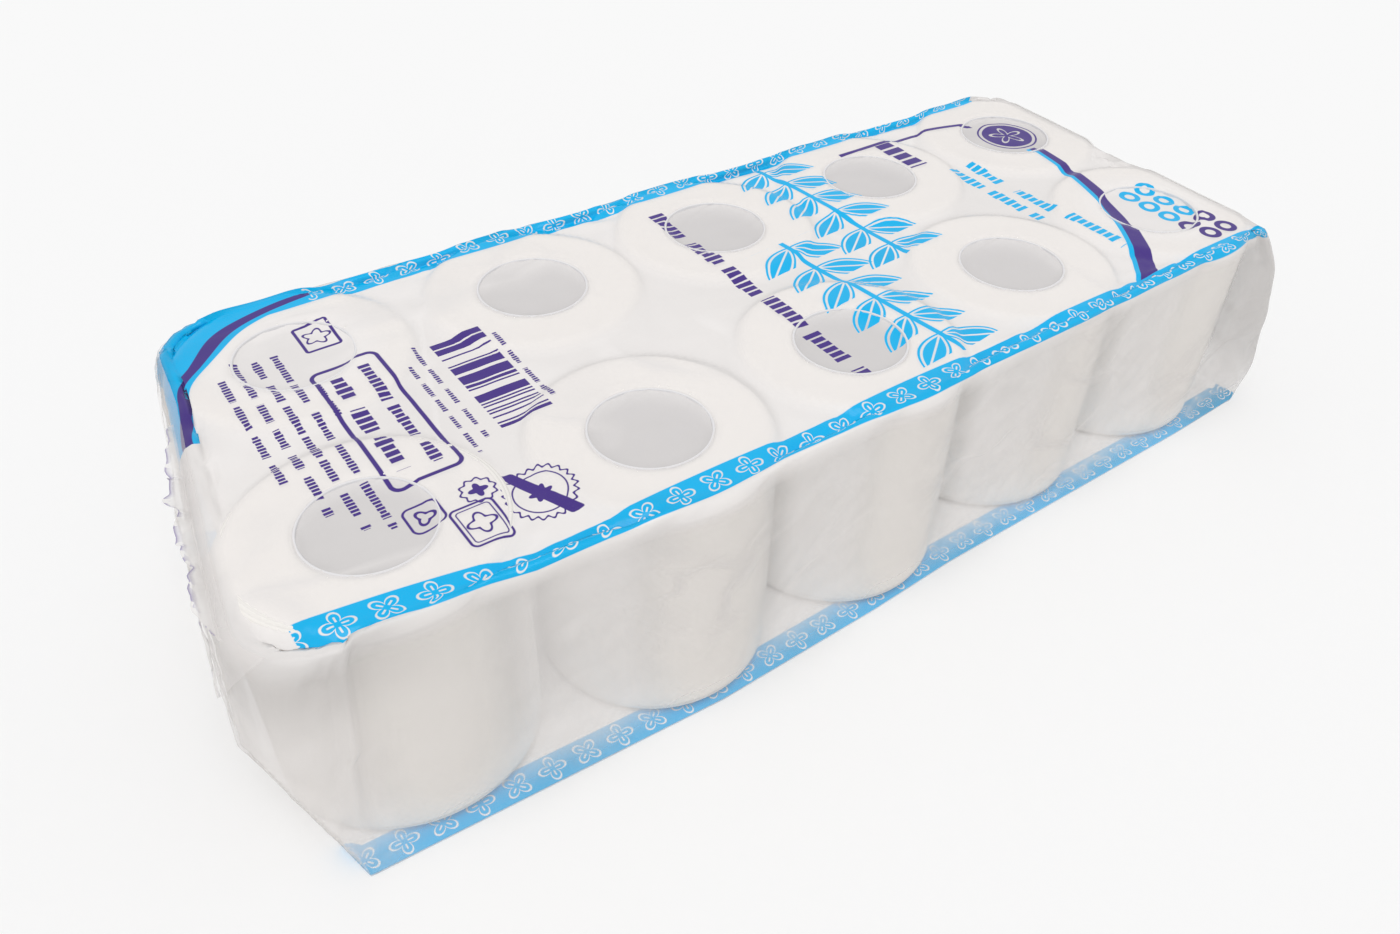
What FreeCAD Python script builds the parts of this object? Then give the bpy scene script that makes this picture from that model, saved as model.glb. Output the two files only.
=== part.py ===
# Ten toilet rolls, two rows of five, standing on end inside a printed plastic film wrap.
# Millimetres. The origin is at the middle of the pack's base, +X along the pack,
# +Y from the front row to the back row, +Z up.
import FreeCAD
import Part
import math
import os

# Roll: a wound tissue body on a cardboard core
rollDiameter = 89.5
rollHeight = 100.0
tailStep = 0.5
spiralPoints = 54
coreDiameter = 44.0
coreWall = 0.9
coreFit = 0.1

# Arrangement: two rows, with each roll shifted (along, across) from its place in the grid
rollGap = 0.5
rowGap = 2.5
frontRowShift = [(-13.5, 1.0), (-6.5, -7.0), (-5.0, -5.0), (-0.5, 1.0), (-0.5, 0.5)]
backRowShift = [(-1.0, 7.0), (3.5, 1.5), (3.0, 1.5), (3.0, 1.5), (3.0, 0.0)]
frontTailAngle = 45.0
backTailAngle = -45.0

# Film wrap: shallow hollows between the rolls, a bevelled top edge, and upright corners that hug
# the end rolls. Corner values are in the order front left, front right, back right, back left.
filmWall = 0.4
filmPlay = 0.1
topBevel = 2.4
sideDraw = 2.4
cornerRadii = [32.0, 12.0, 16.0, 26.0]

# End swells: (height, how far the film stands out from the end rolls), from the base up, and how
# far it stands out at the top. There the right end is pressed to a slope that crushes its rolls' rims.
leftSwell = [(0.0, 4.0), (25.0, 9.0), (60.0, 7.0), (99.6, 2.0)]
leftTopSwell = -0.4
rightSwell = [(0.0, 4.0), (14.0, 18.0), (48.0, 14.0), (76.0, 2.0)]
rightTopSwell = -19.0
swellMargin = 1.0

# Tuck: the front left corner is drawn in under the belly, up to its roll. Its plane's direction in
# plan, front to back, and how far it stands out from the film's reach at each height.
tuckRun = (-18.0, 75.0)
tuckSwell = [(0.0, 0.0), (25.0, 6.0), (50.0, 11.5)]
tuckTopSwell = 24.0

# Ears: the film's spare corners, spread out at the base and creased up to the rounded corner. The
# tucked corner has none.
earHeights = [0.0, 24.0, 24.0, 36.0]
earTrim = 0.12

# End folds: the lower flap is folded up first and the upper flap is laid over it
flapDepth = 58.0
flapSlope = 50.0
flapTipRadius = 6.0
flapMargin = 1.5
lowerFlapPlies = 1
upperFlapPlies = 2

rollRadius = rollDiameter / 2
coreRadius = coreDiameter / 2
rollPitch = rollDiameter + rollGap
rowPitch = rollDiameter + rowGap
cavityBevel = topBevel - filmWall * (2 - math.sqrt(2))
filmSlack = cavityBevel / 2 + filmPlay
filmReach = rollRadius + filmSlack + filmWall
rollBase = filmWall
filmHeight = rollBase + rollHeight + filmSlack + filmWall
partsFolder = "parts"


def vec(x, y, z=0.0):
    return FreeCAD.Vector(x, y, z)


def unit(v):
    return v * (1.0 / v.Length)


def outward(start, end):
    """Unit normal on the outer side of a run of the outline, which goes round anticlockwise."""
    along = unit(end - start)
    return vec(along.y, -along.x)


def wireOf(pieces):
    return Part.Wire([piece.toShape() for piece in pieces])


def rowAxes(side, shifts):
    """Roll axes of one row, left to right. side is -1 for the front row and 1 for the back row."""
    middle = (len(shifts) - 1) / 2
    return [
        vec((i - middle) * rollPitch + along, side * rowPitch / 2 + across)
        for i, (along, across) in enumerate(shifts)
    ]


def crossing(p, u, q, v):
    """Where the line through p along u meets the line through q along v, in plan."""
    k = ((q.x - p.x) * v.y - (q.y - p.y) * v.x) / (u.x * v.y - u.y * v.x)
    return p + u * k


def roundCorner(before, corner, after, radius):
    """Start, arc, middle and end of the round between before-corner and corner-after."""
    u = unit(before - corner)
    v = unit(after - corner)
    half = u.getAngle(v) / 2
    start = corner + u * (radius / math.tan(half))
    end = corner + v * (radius / math.tan(half))
    middle = corner + unit(u + v) * (radius / math.sin(half) - radius)
    return start, Part.Arc(start, middle, end), middle, end


def rowSide(axes, reach):
    """Film along one row, anticlockwise: an arc on each roll and a hollow between neighbours."""
    hollows = []
    for a, b in zip(axes, axes[1:]):
        half = (b - a).Length / 2
        bend = (half * half + sideDraw * sideDraw) / (2 * sideDraw)
        middle = (a + b) * 0.5
        centre = middle + outward(a, b) * (bend - sideDraw)
        hollows.append((
            a + unit(centre - a) * reach,
            middle + outward(a, b) * (reach - sideDraw),
            b + unit(centre - b) * reach,
        ))
    away = vec(0, math.copysign(reach, axes[0].y))
    pieces = []
    here = axes[0] + away
    for i, axis in enumerate(axes):
        there = hollows[i][0] if i < len(hollows) else axis + away
        crown = axis + unit((here - axis) + (there - axis)) * reach
        pieces.append(Part.Arc(here, crown, there))
        if i < len(hollows):
            pieces.append(Part.Arc(*hollows[i]))
            here = hollows[i][2]
    return axes[0] + away, pieces, axes[-1] + away


def sharpCorners(front, back, reach, leftReach, rightReach):
    """Plan corners of the wrap before they are rounded, in the order of the corner radii."""
    rightOut = outward(front[-1], back[-1]) * rightReach
    leftOut = outward(back[0], front[0]) * leftReach
    down = vec(0, -reach)
    along = vec(1, 0)
    rightRun = back[-1] - front[-1]
    leftRun = back[0] - front[0]
    return [
        crossing(front[0] + down, along, front[0] + leftOut, leftRun),
        crossing(front[-1] + down, along, front[-1] + rightOut, rightRun),
        crossing(back[-1] - down, along, back[-1] + rightOut, rightRun),
        crossing(back[0] - down, along, back[0] + leftOut, leftRun),
    ]


def cornerRounds(corners, inset):
    after = corners[1:] + corners[:1]
    return [
        roundCorner(corners[i - 1], corners[i], after[i], cornerRadii[i] - inset)
        for i in range(len(corners))
    ]


def swellLine(swell, topSwell):
    """An end's upright profile: x is how far it stands out, y is the height."""
    return [vec(out, height) for height, out in swell] + [vec(topSwell, filmHeight)]


def swellLimit(swell):
    """Plan reach of an end that takes in the whole of its swell."""
    return filmReach + swellMargin + max(out for _, out in swell)


def endCutter(start, end, profile, inset):
    """What lies outside an end's profile, moved in by inset. start and end are the end rolls' axes."""
    runs = [(a - outward(a, b) * inset, unit(b - a)) for a, b in zip(profile, profile[1:])]
    level = vec(1, 0)
    bends = [crossing(vec(0, -swellMargin), level, *runs[0])]
    bends += [crossing(*a, *b) for a, b in zip(runs, runs[1:])]
    bends += [crossing(vec(0, filmHeight + swellMargin), level, *runs[-1])]
    far = max(bend.x for bend in bends) + 2 * filmReach
    bends += [vec(far, bends[-1].y), vec(far, bends[0].y)]
    out = outward(start, end)
    run = unit(end - start)
    foot = start + out * filmReach - run * 2 * filmReach
    section = Part.Face(Part.makePolygon([foot + out * b.x + vec(0, 0, b.y) for b in bends + bends[:1]]))
    return section.extrude(run * ((end - start).Length + 4 * filmReach))


def endCutters(front, back, inset):
    tuckStart = front[0] + vec(*tuckRun)
    return [
        endCutter(tuckStart, front[0], swellLine(tuckSwell, tuckTopSwell), inset),
        endCutter(back[0], front[0], swellLine(leftSwell, leftTopSwell), inset),
        endCutter(front[-1], back[-1], swellLine(rightSwell, rightTopSwell), inset),
    ]


def wrapBody(front, back, inset, bevel):
    """The wrap's outer form, or its cavity when inset is the film's wall. Laid film has a negative inset."""
    limits = (swellLimit(leftSwell) - inset, swellLimit(rightSwell) - inset)
    rounds = cornerRounds(sharpCorners(front, back, filmReach - inset, *limits), inset)
    frontStart, frontSide, frontEnd = rowSide(front, filmReach - inset)
    backStart, backSide, backEnd = rowSide(back[::-1], filmReach - inset)
    pieces = [rounds[0][1], Part.LineSegment(rounds[0][-1], frontStart)]
    pieces += frontSide
    pieces += [Part.LineSegment(frontEnd, rounds[1][0]), rounds[1][1]]
    pieces += [Part.LineSegment(rounds[1][-1], rounds[2][0]), rounds[2][1]]
    pieces += [Part.LineSegment(rounds[2][-1], backStart)]
    pieces += backSide
    pieces += [Part.LineSegment(backEnd, rounds[3][0]), rounds[3][1]]
    pieces += [Part.LineSegment(rounds[3][-1], rounds[0][0])]
    plan = Part.Face(wireOf(pieces))
    plan.translate(vec(0, 0, inset))
    body = plan.extrude(vec(0, 0, filmHeight - 2 * inset))
    top = body.BoundBox.ZMax
    rim = [edge for edge in body.Edges if edge.BoundBox.ZMin > top - filmWall / 2]
    body = body.makeChamfer(bevel, rim)
    for cutter in endCutters(front, back, inset):
        body = body.cut(cutter)
    return body


def ear(corner, start, middle, end, height):
    """Pyramid of folded film on a base corner. Its crease climbs to the rounded corner."""
    inward = unit(middle - corner) * filmWall
    tip = corner + (middle - corner) * earTrim
    foot = [start + inward, tip, end + inward]
    crest = middle + inward + vec(0, 0, height)
    sides = [foot + foot[:1]]
    sides += [[a, b, crest, a] for a, b in zip(foot, foot[1:] + foot[:1])]
    return Part.Solid(Part.Shell([Part.Face(Part.makePolygon(side)) for side in sides]))


def endFlap(start, end, upper):
    """Outline of a folded flap on an end, as a block that runs out through the end from inside the wrap."""
    run = unit(end - start)
    foldZ = filmHeight - topBevel if upper else flapMargin
    tipZ = filmHeight - flapDepth if upper else flapDepth
    taper = flapMargin + abs(tipZ - foldZ) / math.tan(math.radians(flapSlope))
    foldStart = start + run * flapMargin + vec(0, 0, foldZ)
    foldEnd = end - run * flapMargin + vec(0, 0, foldZ)
    tipStart = start + run * taper + vec(0, 0, tipZ)
    tipEnd = end - run * taper + vec(0, 0, tipZ)
    endRound = roundCorner(foldEnd, tipEnd, tipStart, flapTipRadius)
    startRound = roundCorner(tipEnd, tipStart, foldStart, flapTipRadius)
    outline = Part.Face(wireOf([
        Part.LineSegment(foldStart, foldEnd),
        Part.LineSegment(foldEnd, endRound[0]),
        endRound[1],
        Part.LineSegment(endRound[-1], startRound[0]),
        startRound[1],
        Part.LineSegment(startRound[-1], foldStart),
    ]))
    out = outward(start, end)
    outline.translate(out * -filmReach)
    return outline.extrude(out * 2 * filmReach)


def filmWrap(front, back):
    """Film shell with its ears, and with the folded flaps on both of its ends."""
    cavity = wrapBody(front, back, filmWall, cavityBevel)
    film = wrapBody(front, back, 0.0, topBevel)
    corners = sharpCorners(front, back, filmReach, filmReach + leftSwell[0][1], filmReach + rightSwell[0][1])
    rounds = cornerRounds(corners, 0.0)
    for corner, (start, _, middle, end), height in zip(corners, rounds, earHeights):
        if height:
            film = film.fuse(ear(corner, start, middle, end, height))
    for upper, plies in ((False, lowerFlapPlies), (True, upperFlapPlies)):
        laid = wrapBody(front, back, -plies * filmWall, topBevel)
        for start, end in ((rounds[1][-1], rounds[2][0]), (rounds[3][-1], rounds[0][0])):
            film = film.fuse(laid.common(endFlap(start, end, upper)))
    return film.cut(cavity)


def woundRoll(tailAngle):
    """Tissue body on the Z axis. Its outline is one spiral turn, point by point, that ends in the tail's step."""
    outline = []
    for i in range(spiralPoints + 1):
        turn = i / spiralPoints
        reach = rollRadius - tailStep * turn
        angle = math.radians(tailAngle + 360 * turn)
        outline.append(vec(reach * math.cos(angle), reach * math.sin(angle)))
    bore = Part.makeCylinder(coreRadius + coreFit, rollHeight)
    return Part.Face(Part.makePolygon(outline + outline[:1])).extrude(vec(0, 0, rollHeight)).cut(bore)


def cardboardCore():
    """Tube that the tissue is wound on, flush with both of the roll's ends."""
    return Part.makeCylinder(coreRadius, rollHeight).cut(Part.makeCylinder(coreRadius - coreWall, rollHeight))


def placed(shape, place):
    copy = shape.copy()
    copy.translate(place)
    return copy


def export(shape, name):
    shape.exportStep(os.path.join(partsFolder, name + ".step"))


def build():
    os.makedirs(partsFolder, exist_ok=True)
    front = rowAxes(-1, frontRowShift)
    back = rowAxes(1, backRowShift)
    film = filmWrap(front, back)
    middle = film.optimalBoundingBox().Center
    centring = vec(-middle.x, -middle.y)
    pressed = endCutters(front, back, filmWall + filmSlack)
    export(placed(film, centring), "film_wrap")
    for rowName, axes, tailAngle in (("front", front, frontTailAngle), ("back", back, backTailAngle)):
        for i, axis in enumerate(axes):
            roll = placed(woundRoll(tailAngle), axis + vec(0, 0, rollBase))
            for cutter in pressed:
                roll = roll.cut(cutter)
            export(placed(roll, centring), f"{rowName}_roll_{i + 1}")
        places = [axis + centring + vec(0, 0, rollBase) for axis in axes]
        cores = [placed(cardboardCore(), place) for place in places]
        export(Part.makeCompound(cores), f"{rowName}_cores")


build()
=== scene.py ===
# Ten toilet rolls, two rows of five, in a printed plastic wrap
import math
import bpy
import numpy as np
from mathutils import Matrix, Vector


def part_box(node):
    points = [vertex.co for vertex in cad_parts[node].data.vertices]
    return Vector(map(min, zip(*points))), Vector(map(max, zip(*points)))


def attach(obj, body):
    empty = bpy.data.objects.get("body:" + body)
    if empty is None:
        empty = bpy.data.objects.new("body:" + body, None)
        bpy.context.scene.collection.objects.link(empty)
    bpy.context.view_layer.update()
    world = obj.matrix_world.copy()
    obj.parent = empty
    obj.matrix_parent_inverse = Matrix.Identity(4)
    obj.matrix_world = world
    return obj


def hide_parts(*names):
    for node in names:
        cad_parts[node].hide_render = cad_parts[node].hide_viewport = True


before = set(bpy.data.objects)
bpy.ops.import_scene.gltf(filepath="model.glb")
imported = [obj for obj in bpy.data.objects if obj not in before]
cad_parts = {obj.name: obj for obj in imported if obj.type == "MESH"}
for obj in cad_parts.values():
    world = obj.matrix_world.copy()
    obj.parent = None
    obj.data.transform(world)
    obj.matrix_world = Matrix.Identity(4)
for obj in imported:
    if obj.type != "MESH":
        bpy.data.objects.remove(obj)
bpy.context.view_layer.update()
mm = 0.001
scene = bpy.context.scene
frontNames = [f"front_roll_{i + 1}" for i in range(5)]
backNames = [f"back_roll_{i + 1}" for i in range(5)]
print("frame loaded")


# Small tools for meshes

def smoothStep(value, low, high):
    share = np.clip((value - low) / (high - low), 0.0, 1.0)
    return share * share * (3.0 - 2.0 * share)


def softNoise(points, seed, shortest, longest, count=20):
    # sum of plane waves with seeded directions, lengths in mm, about -1 to 1
    dice = np.random.default_rng(seed)
    total = np.zeros(len(points))
    for _ in range(count):
        way = dice.normal(size=3)
        way /= np.linalg.norm(way)
        size = math.exp(dice.uniform(math.log(shortest), math.log(longest)))
        total += np.sin(points @ way * (2 * math.pi / size) + dice.uniform(0, 2 * math.pi))
    return total / math.sqrt(count)


def gridFaces(index, flip=False):
    # quads of a grid of vertex numbers; the normal is first axis x second axis
    quads = np.stack([index[:-1, :-1], index[1:, :-1], index[1:, 1:], index[:-1, 1:]], axis=-1).reshape(-1, 4)
    return quads[:, ::-1] if flip else quads


def ringIndex(shape):
    # vertex numbers of a grid that closes on itself both ways
    index = np.arange(shape[0] * shape[1]).reshape(shape)
    index = np.concatenate([index, index[:1]], axis=0)
    return np.concatenate([index, index[:, :1]], axis=1)


def addPiece(name, points, faces, material, replaced=()):
    # points in mm, in the frame's own axes
    mesh = bpy.data.meshes.new(name)
    mesh.from_pydata((np.asarray(points) * mm).tolist(), [], np.asarray(faces).tolist())
    mesh.shade_smooth()
    mesh.materials.append(material)
    piece = bpy.data.objects.new(name, mesh)
    scene.collection.objects.link(piece)
    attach(piece, "root")
    for node in replaced:
        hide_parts(node)
    return piece


def addAttribute(piece, name, values):
    layer = piece.data.attributes.new(name, "FLOAT_VECTOR", "POINT")
    layer.data.foreach_set("vector", np.asarray(values, np.float32).ravel())


# Where the rolls stand, read from the frame, in mm. The wound outline shifts a roll's box a little
# from its axis.

tailStep = 0.5
boxShift = {"front": (-tailStep / 4, tailStep / 4), "back": (tailStep / 4, tailStep / 4)}


def axisOf(name):
    low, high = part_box(name)
    shift = boxShift[name.split("_")[0]]
    return [(low.x + high.x) / 2 / mm - shift[0], (low.y + high.y) / 2 / mm - shift[1]]


rollPlaces = np.array([axisOf(name) for name in frontNames + backNames])
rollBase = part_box("front_roll_1")[0].z / mm
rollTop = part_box("front_roll_1")[1].z / mm
rollRadius = 44.75
coreRadius = 22.0
printFirstAxis = -186.81        # x of the first roll's axis in the numbers of the print and the camera
printOrigin = np.array([rollPlaces[0, 0] - printFirstAxis, 0.0])


# The pack's ends, near to what the source gives them: how far the film stands out from the end rolls
# at each height, and the slope that the right end's rims are pressed to

ends = {
    "reach": 46.1,
    "left": [(0.0, 4.0), (25.0, 9.0), (60.0, 7.0), (99.6, 2.0), (102.0, -0.4)],
    "right": [(0.0, 4.0), (14.0, 18.5), (48.0, 15.5), (76.0, 5.5), (102.0, -13.5)],
    "tuckWay": (-0.9724, -0.2334),      # the tucked corner's direction in plan
    "tuck": [(0.0, 0.0), (25.0, 6.0), (50.0, 11.5), (102.0, 24.0)],
    "slopeInset": 1.5,
    "slopeSoft": 1.6,
    "bend": 5.0,                        # mm up and down over which the bends are rounded off
    "tallest": 102.0,
}


def swellAt(side, height):
    # the source's profile with its bends rounded off
    heights, outs = np.array(ends[side]).T
    around = np.clip(height + np.linspace(-ends["bend"], ends["bend"], 11), 0.0, ends["tallest"])
    return float(np.interp(around, heights, outs).mean())


def slopeDistance(points):
    # how far points are beyond the right end's slope, and its outward direction
    front, back = rollPlaces[4], rollPlaces[9]
    run = (back - front) / np.linalg.norm(back - front)
    out = np.array([run[1], -run[0]])
    (lowZ, lowOut), (highZ, highOut) = ends["right"][-2:]
    length = math.hypot(highZ - lowZ, highOut - lowOut)
    flat = (highZ - lowZ) / length
    rise = (lowOut - highOut) / length
    away = (points[:, :2] - front) @ out - ends["reach"] - highOut
    distance = away * flat + (points[:, 2] - highZ) * rise
    return distance, np.array([out[0] * flat, out[1] * flat, rise])


def pressSlope(points):
    # rims and cores under the slope are crushed to it, softly
    distance, way = slopeDistance(points)
    soft = ends["slopeSoft"]
    push = soft * np.log1p(np.exp(np.clip((distance + ends["slopeInset"]) / soft, -30.0, 30.0)))
    return points - np.outer(push, way)


# Shader helpers

def join(tree, value, socket):
    if isinstance(value, bpy.types.NodeSocket):
        tree.links.new(value, socket)
    else:
        socket.default_value = value


def calc(tree, operation, *values, clamp=False):
    node = tree.nodes.new("ShaderNodeMath")
    node.operation = operation
    node.use_clamp = clamp
    for socket, value in zip(node.inputs, values):
        join(tree, value, socket)
    return node.outputs[0]


def minus(tree, first, second):
    return calc(tree, "SUBTRACT", first, second)


def times(tree, first, second):
    return calc(tree, "MULTIPLY", first, second)


def lengthOf(tree, x, y):
    return calc(tree, "SQRT", calc(tree, "ADD", times(tree, x, x), times(tree, y, y)))


def softMask(tree, distance, blur=0.3):
    # 1 inside, where distance is below 0
    return calc(tree, "MULTIPLY_ADD", distance, -1.0 / blur, 0.5, clamp=True)


def within(tree, value, low, high):
    return times(tree, softMask(tree, minus(tree, low, value)), softMask(tree, minus(tree, value, high)))


def nearTo(tree, value, middle, half):
    return softMask(tree, minus(tree, calc(tree, "ABSOLUTE", minus(tree, value, middle)), half))


def blend(tree, mask, first, second):
    node = tree.nodes.new("ShaderNodeMix")
    node.data_type = "RGBA"
    join(tree, mask, node.inputs[0])
    join(tree, first, node.inputs[6])
    join(tree, second, node.inputs[7])
    return node.outputs[2]


def noiseNode(tree, vector, scale, detail=3.0, roughness=0.5, distortion=0.0):
    node = tree.nodes.new("ShaderNodeTexNoise")
    join(tree, vector, node.inputs["Vector"])
    node.inputs["Scale"].default_value = scale
    node.inputs["Detail"].default_value = detail
    node.inputs["Roughness"].default_value = roughness
    node.inputs["Distortion"].default_value = distortion
    return node.outputs["Fac"]


def spread(tree, vector, x, y, z):
    # stretches a coordinate, for marks that run one way
    node = tree.nodes.new("ShaderNodeMapping")
    join(tree, vector, node.inputs["Vector"])
    node.inputs["Scale"].default_value = (x, y, z)
    return node.outputs["Vector"]


def objectPlace(tree):
    return tree.nodes.new("ShaderNodeTexCoord").outputs["Object"]


def newGroup(name, inputs, outputs):
    group = bpy.data.node_groups.new(name, "ShaderNodeTree")
    for label, value in inputs.items():
        kind = "NodeSocketVector" if isinstance(value, tuple) else "NodeSocketFloat"
        socket = group.interface.new_socket(name=label, in_out="INPUT", socket_type=kind)
        socket.default_value = value
    for label in outputs:
        group.interface.new_socket(name=label, in_out="OUTPUT", socket_type="NodeSocketFloat")
    entry = group.nodes.new("NodeGroupInput").outputs
    leave = group.nodes.new("NodeGroupOutput").inputs
    return group, entry, leave


def useGroup(tree, group, values):
    node = tree.nodes.new("ShaderNodeGroup")
    node.node_tree = group
    for label, value in values.items():
        join(tree, value, node.inputs[label])
    return node.outputs


def newMaterial(name, settings):
    material = bpy.data.materials.new(name)
    material.use_nodes = True
    tree = material.node_tree
    shader = tree.nodes["Principled BSDF"]
    for label, value in settings.items():
        shader.inputs[label].default_value = value
    return material, tree, shader


def addBump(tree, shader, height, strength, distance):
    bump = tree.nodes.new("ShaderNodeBump")
    bump.inputs["Strength"].default_value = strength
    bump.inputs["Distance"].default_value = distance
    tree.links.new(height, bump.inputs["Height"])
    tree.links.new(bump.outputs["Normal"], shader.inputs["Normal"])


def fibreGroup():
    # paper fibres: a cloudy tone and a fine height, for tissue and board
    group, entry, leave = newGroup("fibreMarks", {
        "Place": (0.0, 0.0, 0.0), "Cloud Size": 12.0, "Fibre Size": 900.0}, ["Tone", "Height"])
    cloud = group.nodes.new("ShaderNodeTexNoise")
    group.links.new(entry["Place"], cloud.inputs["Vector"])
    group.links.new(entry["Cloud Size"], cloud.inputs["Scale"])
    cloud.inputs["Detail"].default_value = 4.0
    fibre = group.nodes.new("ShaderNodeTexNoise")
    group.links.new(spread(group, entry["Place"], 1.0, 1.0, 0.35), fibre.inputs["Vector"])
    group.links.new(entry["Fibre Size"], fibre.inputs["Scale"])
    fibre.inputs["Detail"].default_value = 5.0
    fibre.inputs["Roughness"].default_value = 0.65
    slow = times(group, cloud.outputs["Fac"], 0.65)
    tone = calc(group, "MULTIPLY_ADD", fibre.outputs["Fac"], 0.35, slow)
    group.links.new(tone, leave["Tone"])
    group.links.new(fibre.outputs["Fac"], leave["Height"])
    return group


fibres = fibreGroup()


# Tissue rolls

rollStyle = {
    "rim": 5.0,             # soft rounding of both outer edges, mm
    "innerRim": 1.6,        # rounding at the core
    "around": 168,          # points round the roll
    "wobble": 0.35,         # how far the side is out of true, mm
    "dish": 0.5,            # hollow of the flat ends
    "turnPitch": 0.9,       # distance between the turns that show on the ends
    "squeeze": {"front_roll_1": (1.05, 0.99), "front_roll_2": (0.985, 1.0)},    # plan, squashed rolls
    "light": (0.93, 0.905, 0.87, 1.0),
    "shade": (0.86, 0.83, 0.79, 1.0),
    "dents": (30.0, 90.0),  # lengths of the side's dents
    "dentShare": 0.3,
    "rimTurns": 0.12,       # how much the turns show in the ends' tone
    "cloudTone": 1.5,
    "embossTurn": 1.9,      # radians per mm of the pressed cells, which are about 1.7 mm wide
    "embossHeight": 0.35,
    "bump": 0.0004,         # metres
}


def tissueMaterial():
    style = rollStyle
    material, tree, shader = newMaterial("tissue", {
        "Roughness": 0.92, "Specular IOR Level": 0.2, "Subsurface Weight": 0.0, "Sheen Weight": 0.15})
    place = objectPlace(tree)
    marks = useGroup(tree, fibres, {"Place": place, "Cloud Size": 26.0, "Fibre Size": 700.0})
    turn = tree.nodes.new("ShaderNodeAttribute")
    turn.attribute_name = "turns"
    parts = tree.nodes.new("ShaderNodeSeparateXYZ")
    tree.links.new(turn.outputs["Vector"], parts.inputs[0])
    layers = calc(tree, "SINE", times(tree, parts.outputs[0], 2 * math.pi))
    layers = times(tree, layers, parts.outputs[2])
    cells = [calc(tree, "SINE", times(tree, parts.outputs[k], style["embossTurn"])) for k in (1, 0)]
    emboss = times(tree, times(tree, *cells), minus(tree, 1.0, parts.outputs[2]))
    cloud = calc(tree, "MULTIPLY_ADD", marks["Tone"], style["cloudTone"], -0.25)
    tone = calc(tree, "MULTIPLY_ADD", layers, style["rimTurns"], cloud, clamp=True)
    tree.links.new(blend(tree, tone, style["shade"], style["light"]), shader.inputs["Base Color"])
    pressed = calc(tree, "MULTIPLY_ADD", emboss, style["embossHeight"], marks["Height"])
    addBump(tree, shader, calc(tree, "MULTIPLY_ADD", layers, 0.5, pressed), 0.55, style["bump"])
    return material


def rollProfile():
    # radius, height and kind (1 on the flat ends) from the bore's foot, over the top, down to the foot again
    style = rollStyle
    bore = coreRadius + 0.1
    height = rollTop - rollBase
    profile = [(bore, z, 0.0) for z in np.linspace(style["innerRim"], height - style["innerRim"], 6)]
    for turn in np.linspace(0.2, 1.0, 4) * math.pi / 2:
        profile.append((bore + style["innerRim"] * (1 - math.cos(turn)),
                        height - style["innerRim"] * (1 - math.sin(turn)), 1.0))
    flatStart = bore + style["innerRim"]
    flatEnd = rollRadius - style["rim"]
    for share in np.linspace(0.0, 1.0, 12)[1:]:
        radius = flatStart + (flatEnd - flatStart) * share
        profile.append((radius, height - style["dish"] * math.sin(math.pi * share), 1.0))
    for turn in np.linspace(0.0, 1.0, 9)[1:] * math.pi / 2:
        profile.append((flatEnd + style["rim"] * math.sin(turn), height - style["rim"] * (1 - math.cos(turn)),
                        1.0 - turn / (math.pi / 2)))
    upper = profile[:]
    side = [(rollRadius, z, 0.0) for z in np.linspace(height - style["rim"], style["rim"], 20)[1:-1]]
    lower = [(radius, height - z, kind) for radius, z, kind in reversed(upper[6:])]
    return np.array(upper + side + lower)


def addRoll(name, material, tailAngle, seed):
    # one spiral turn of the profile; its small step is the paper's loose end
    style = rollStyle
    profile = rollProfile()
    angles = np.linspace(0.0, 2 * math.pi, style["around"], endpoint=False)
    lengths = np.concatenate([[0.0], np.cumsum(np.hypot(*np.diff(profile[:, :2], axis=0).T))])
    angle, row = np.meshgrid(angles, np.arange(len(profile)), indexing="ij")
    radius = profile[row, 0]
    height = profile[row, 1]
    kind = profile[row, 2]
    outer = smoothStep(radius, rollRadius - style["rim"] * 2, rollRadius)
    spiral = tailStep * angle / (2 * math.pi) * outer
    place = axisOf(name)
    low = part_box(name)[0].z / mm
    probe = np.stack([np.cos(angle) * 40, np.sin(angle) * 40, height], axis=-1).reshape(-1, 3)
    dents = softNoise(probe, seed, *style["dents"]).reshape(angle.shape) - 1.6
    wobble = dents * style["dentShare"] * style["wobble"]
    radius = radius - spiral + np.minimum(wobble, 0.0) * outer
    facing = angle + tailAngle
    wide, deep = style["squeeze"].get(name, (1.0, 1.0))
    wide = 1 + (wide - 1) * outer
    deep = 1 + (deep - 1) * outer
    points = np.stack([place[0] + radius * wide * np.cos(facing), place[1] + radius * deep * np.sin(facing),
                       low + height], axis=-1)
    # turns counted on the ends and mm up the sides, mm round the side, and how much of an end it is
    turns = np.stack([
        np.where(kind > 0, (radius - coreRadius) / style["turnPitch"], lengths[row]) + angle / (2 * math.pi),
        angle * rollRadius,
        smoothStep(kind, 0.0, 1.0),
    ], axis=-1)
    faces = gridFaces(ringIndex(angle.shape))
    piece = addPiece(name + "_tissue", pressSlope(points.reshape(-1, 3)), faces, material, [name])
    addAttribute(piece, "turns", turns.reshape(-1, 3))


tissue = tissueMaterial()
for names, tailAngle, firstSeed in ((frontNames, 45, 11), (backNames, -45, 31)):
    for i, name in enumerate(names):
        addRoll(name, tissue, math.radians(tailAngle), firstSeed + i)
print("rolls made")


# Cardboard cores

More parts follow.
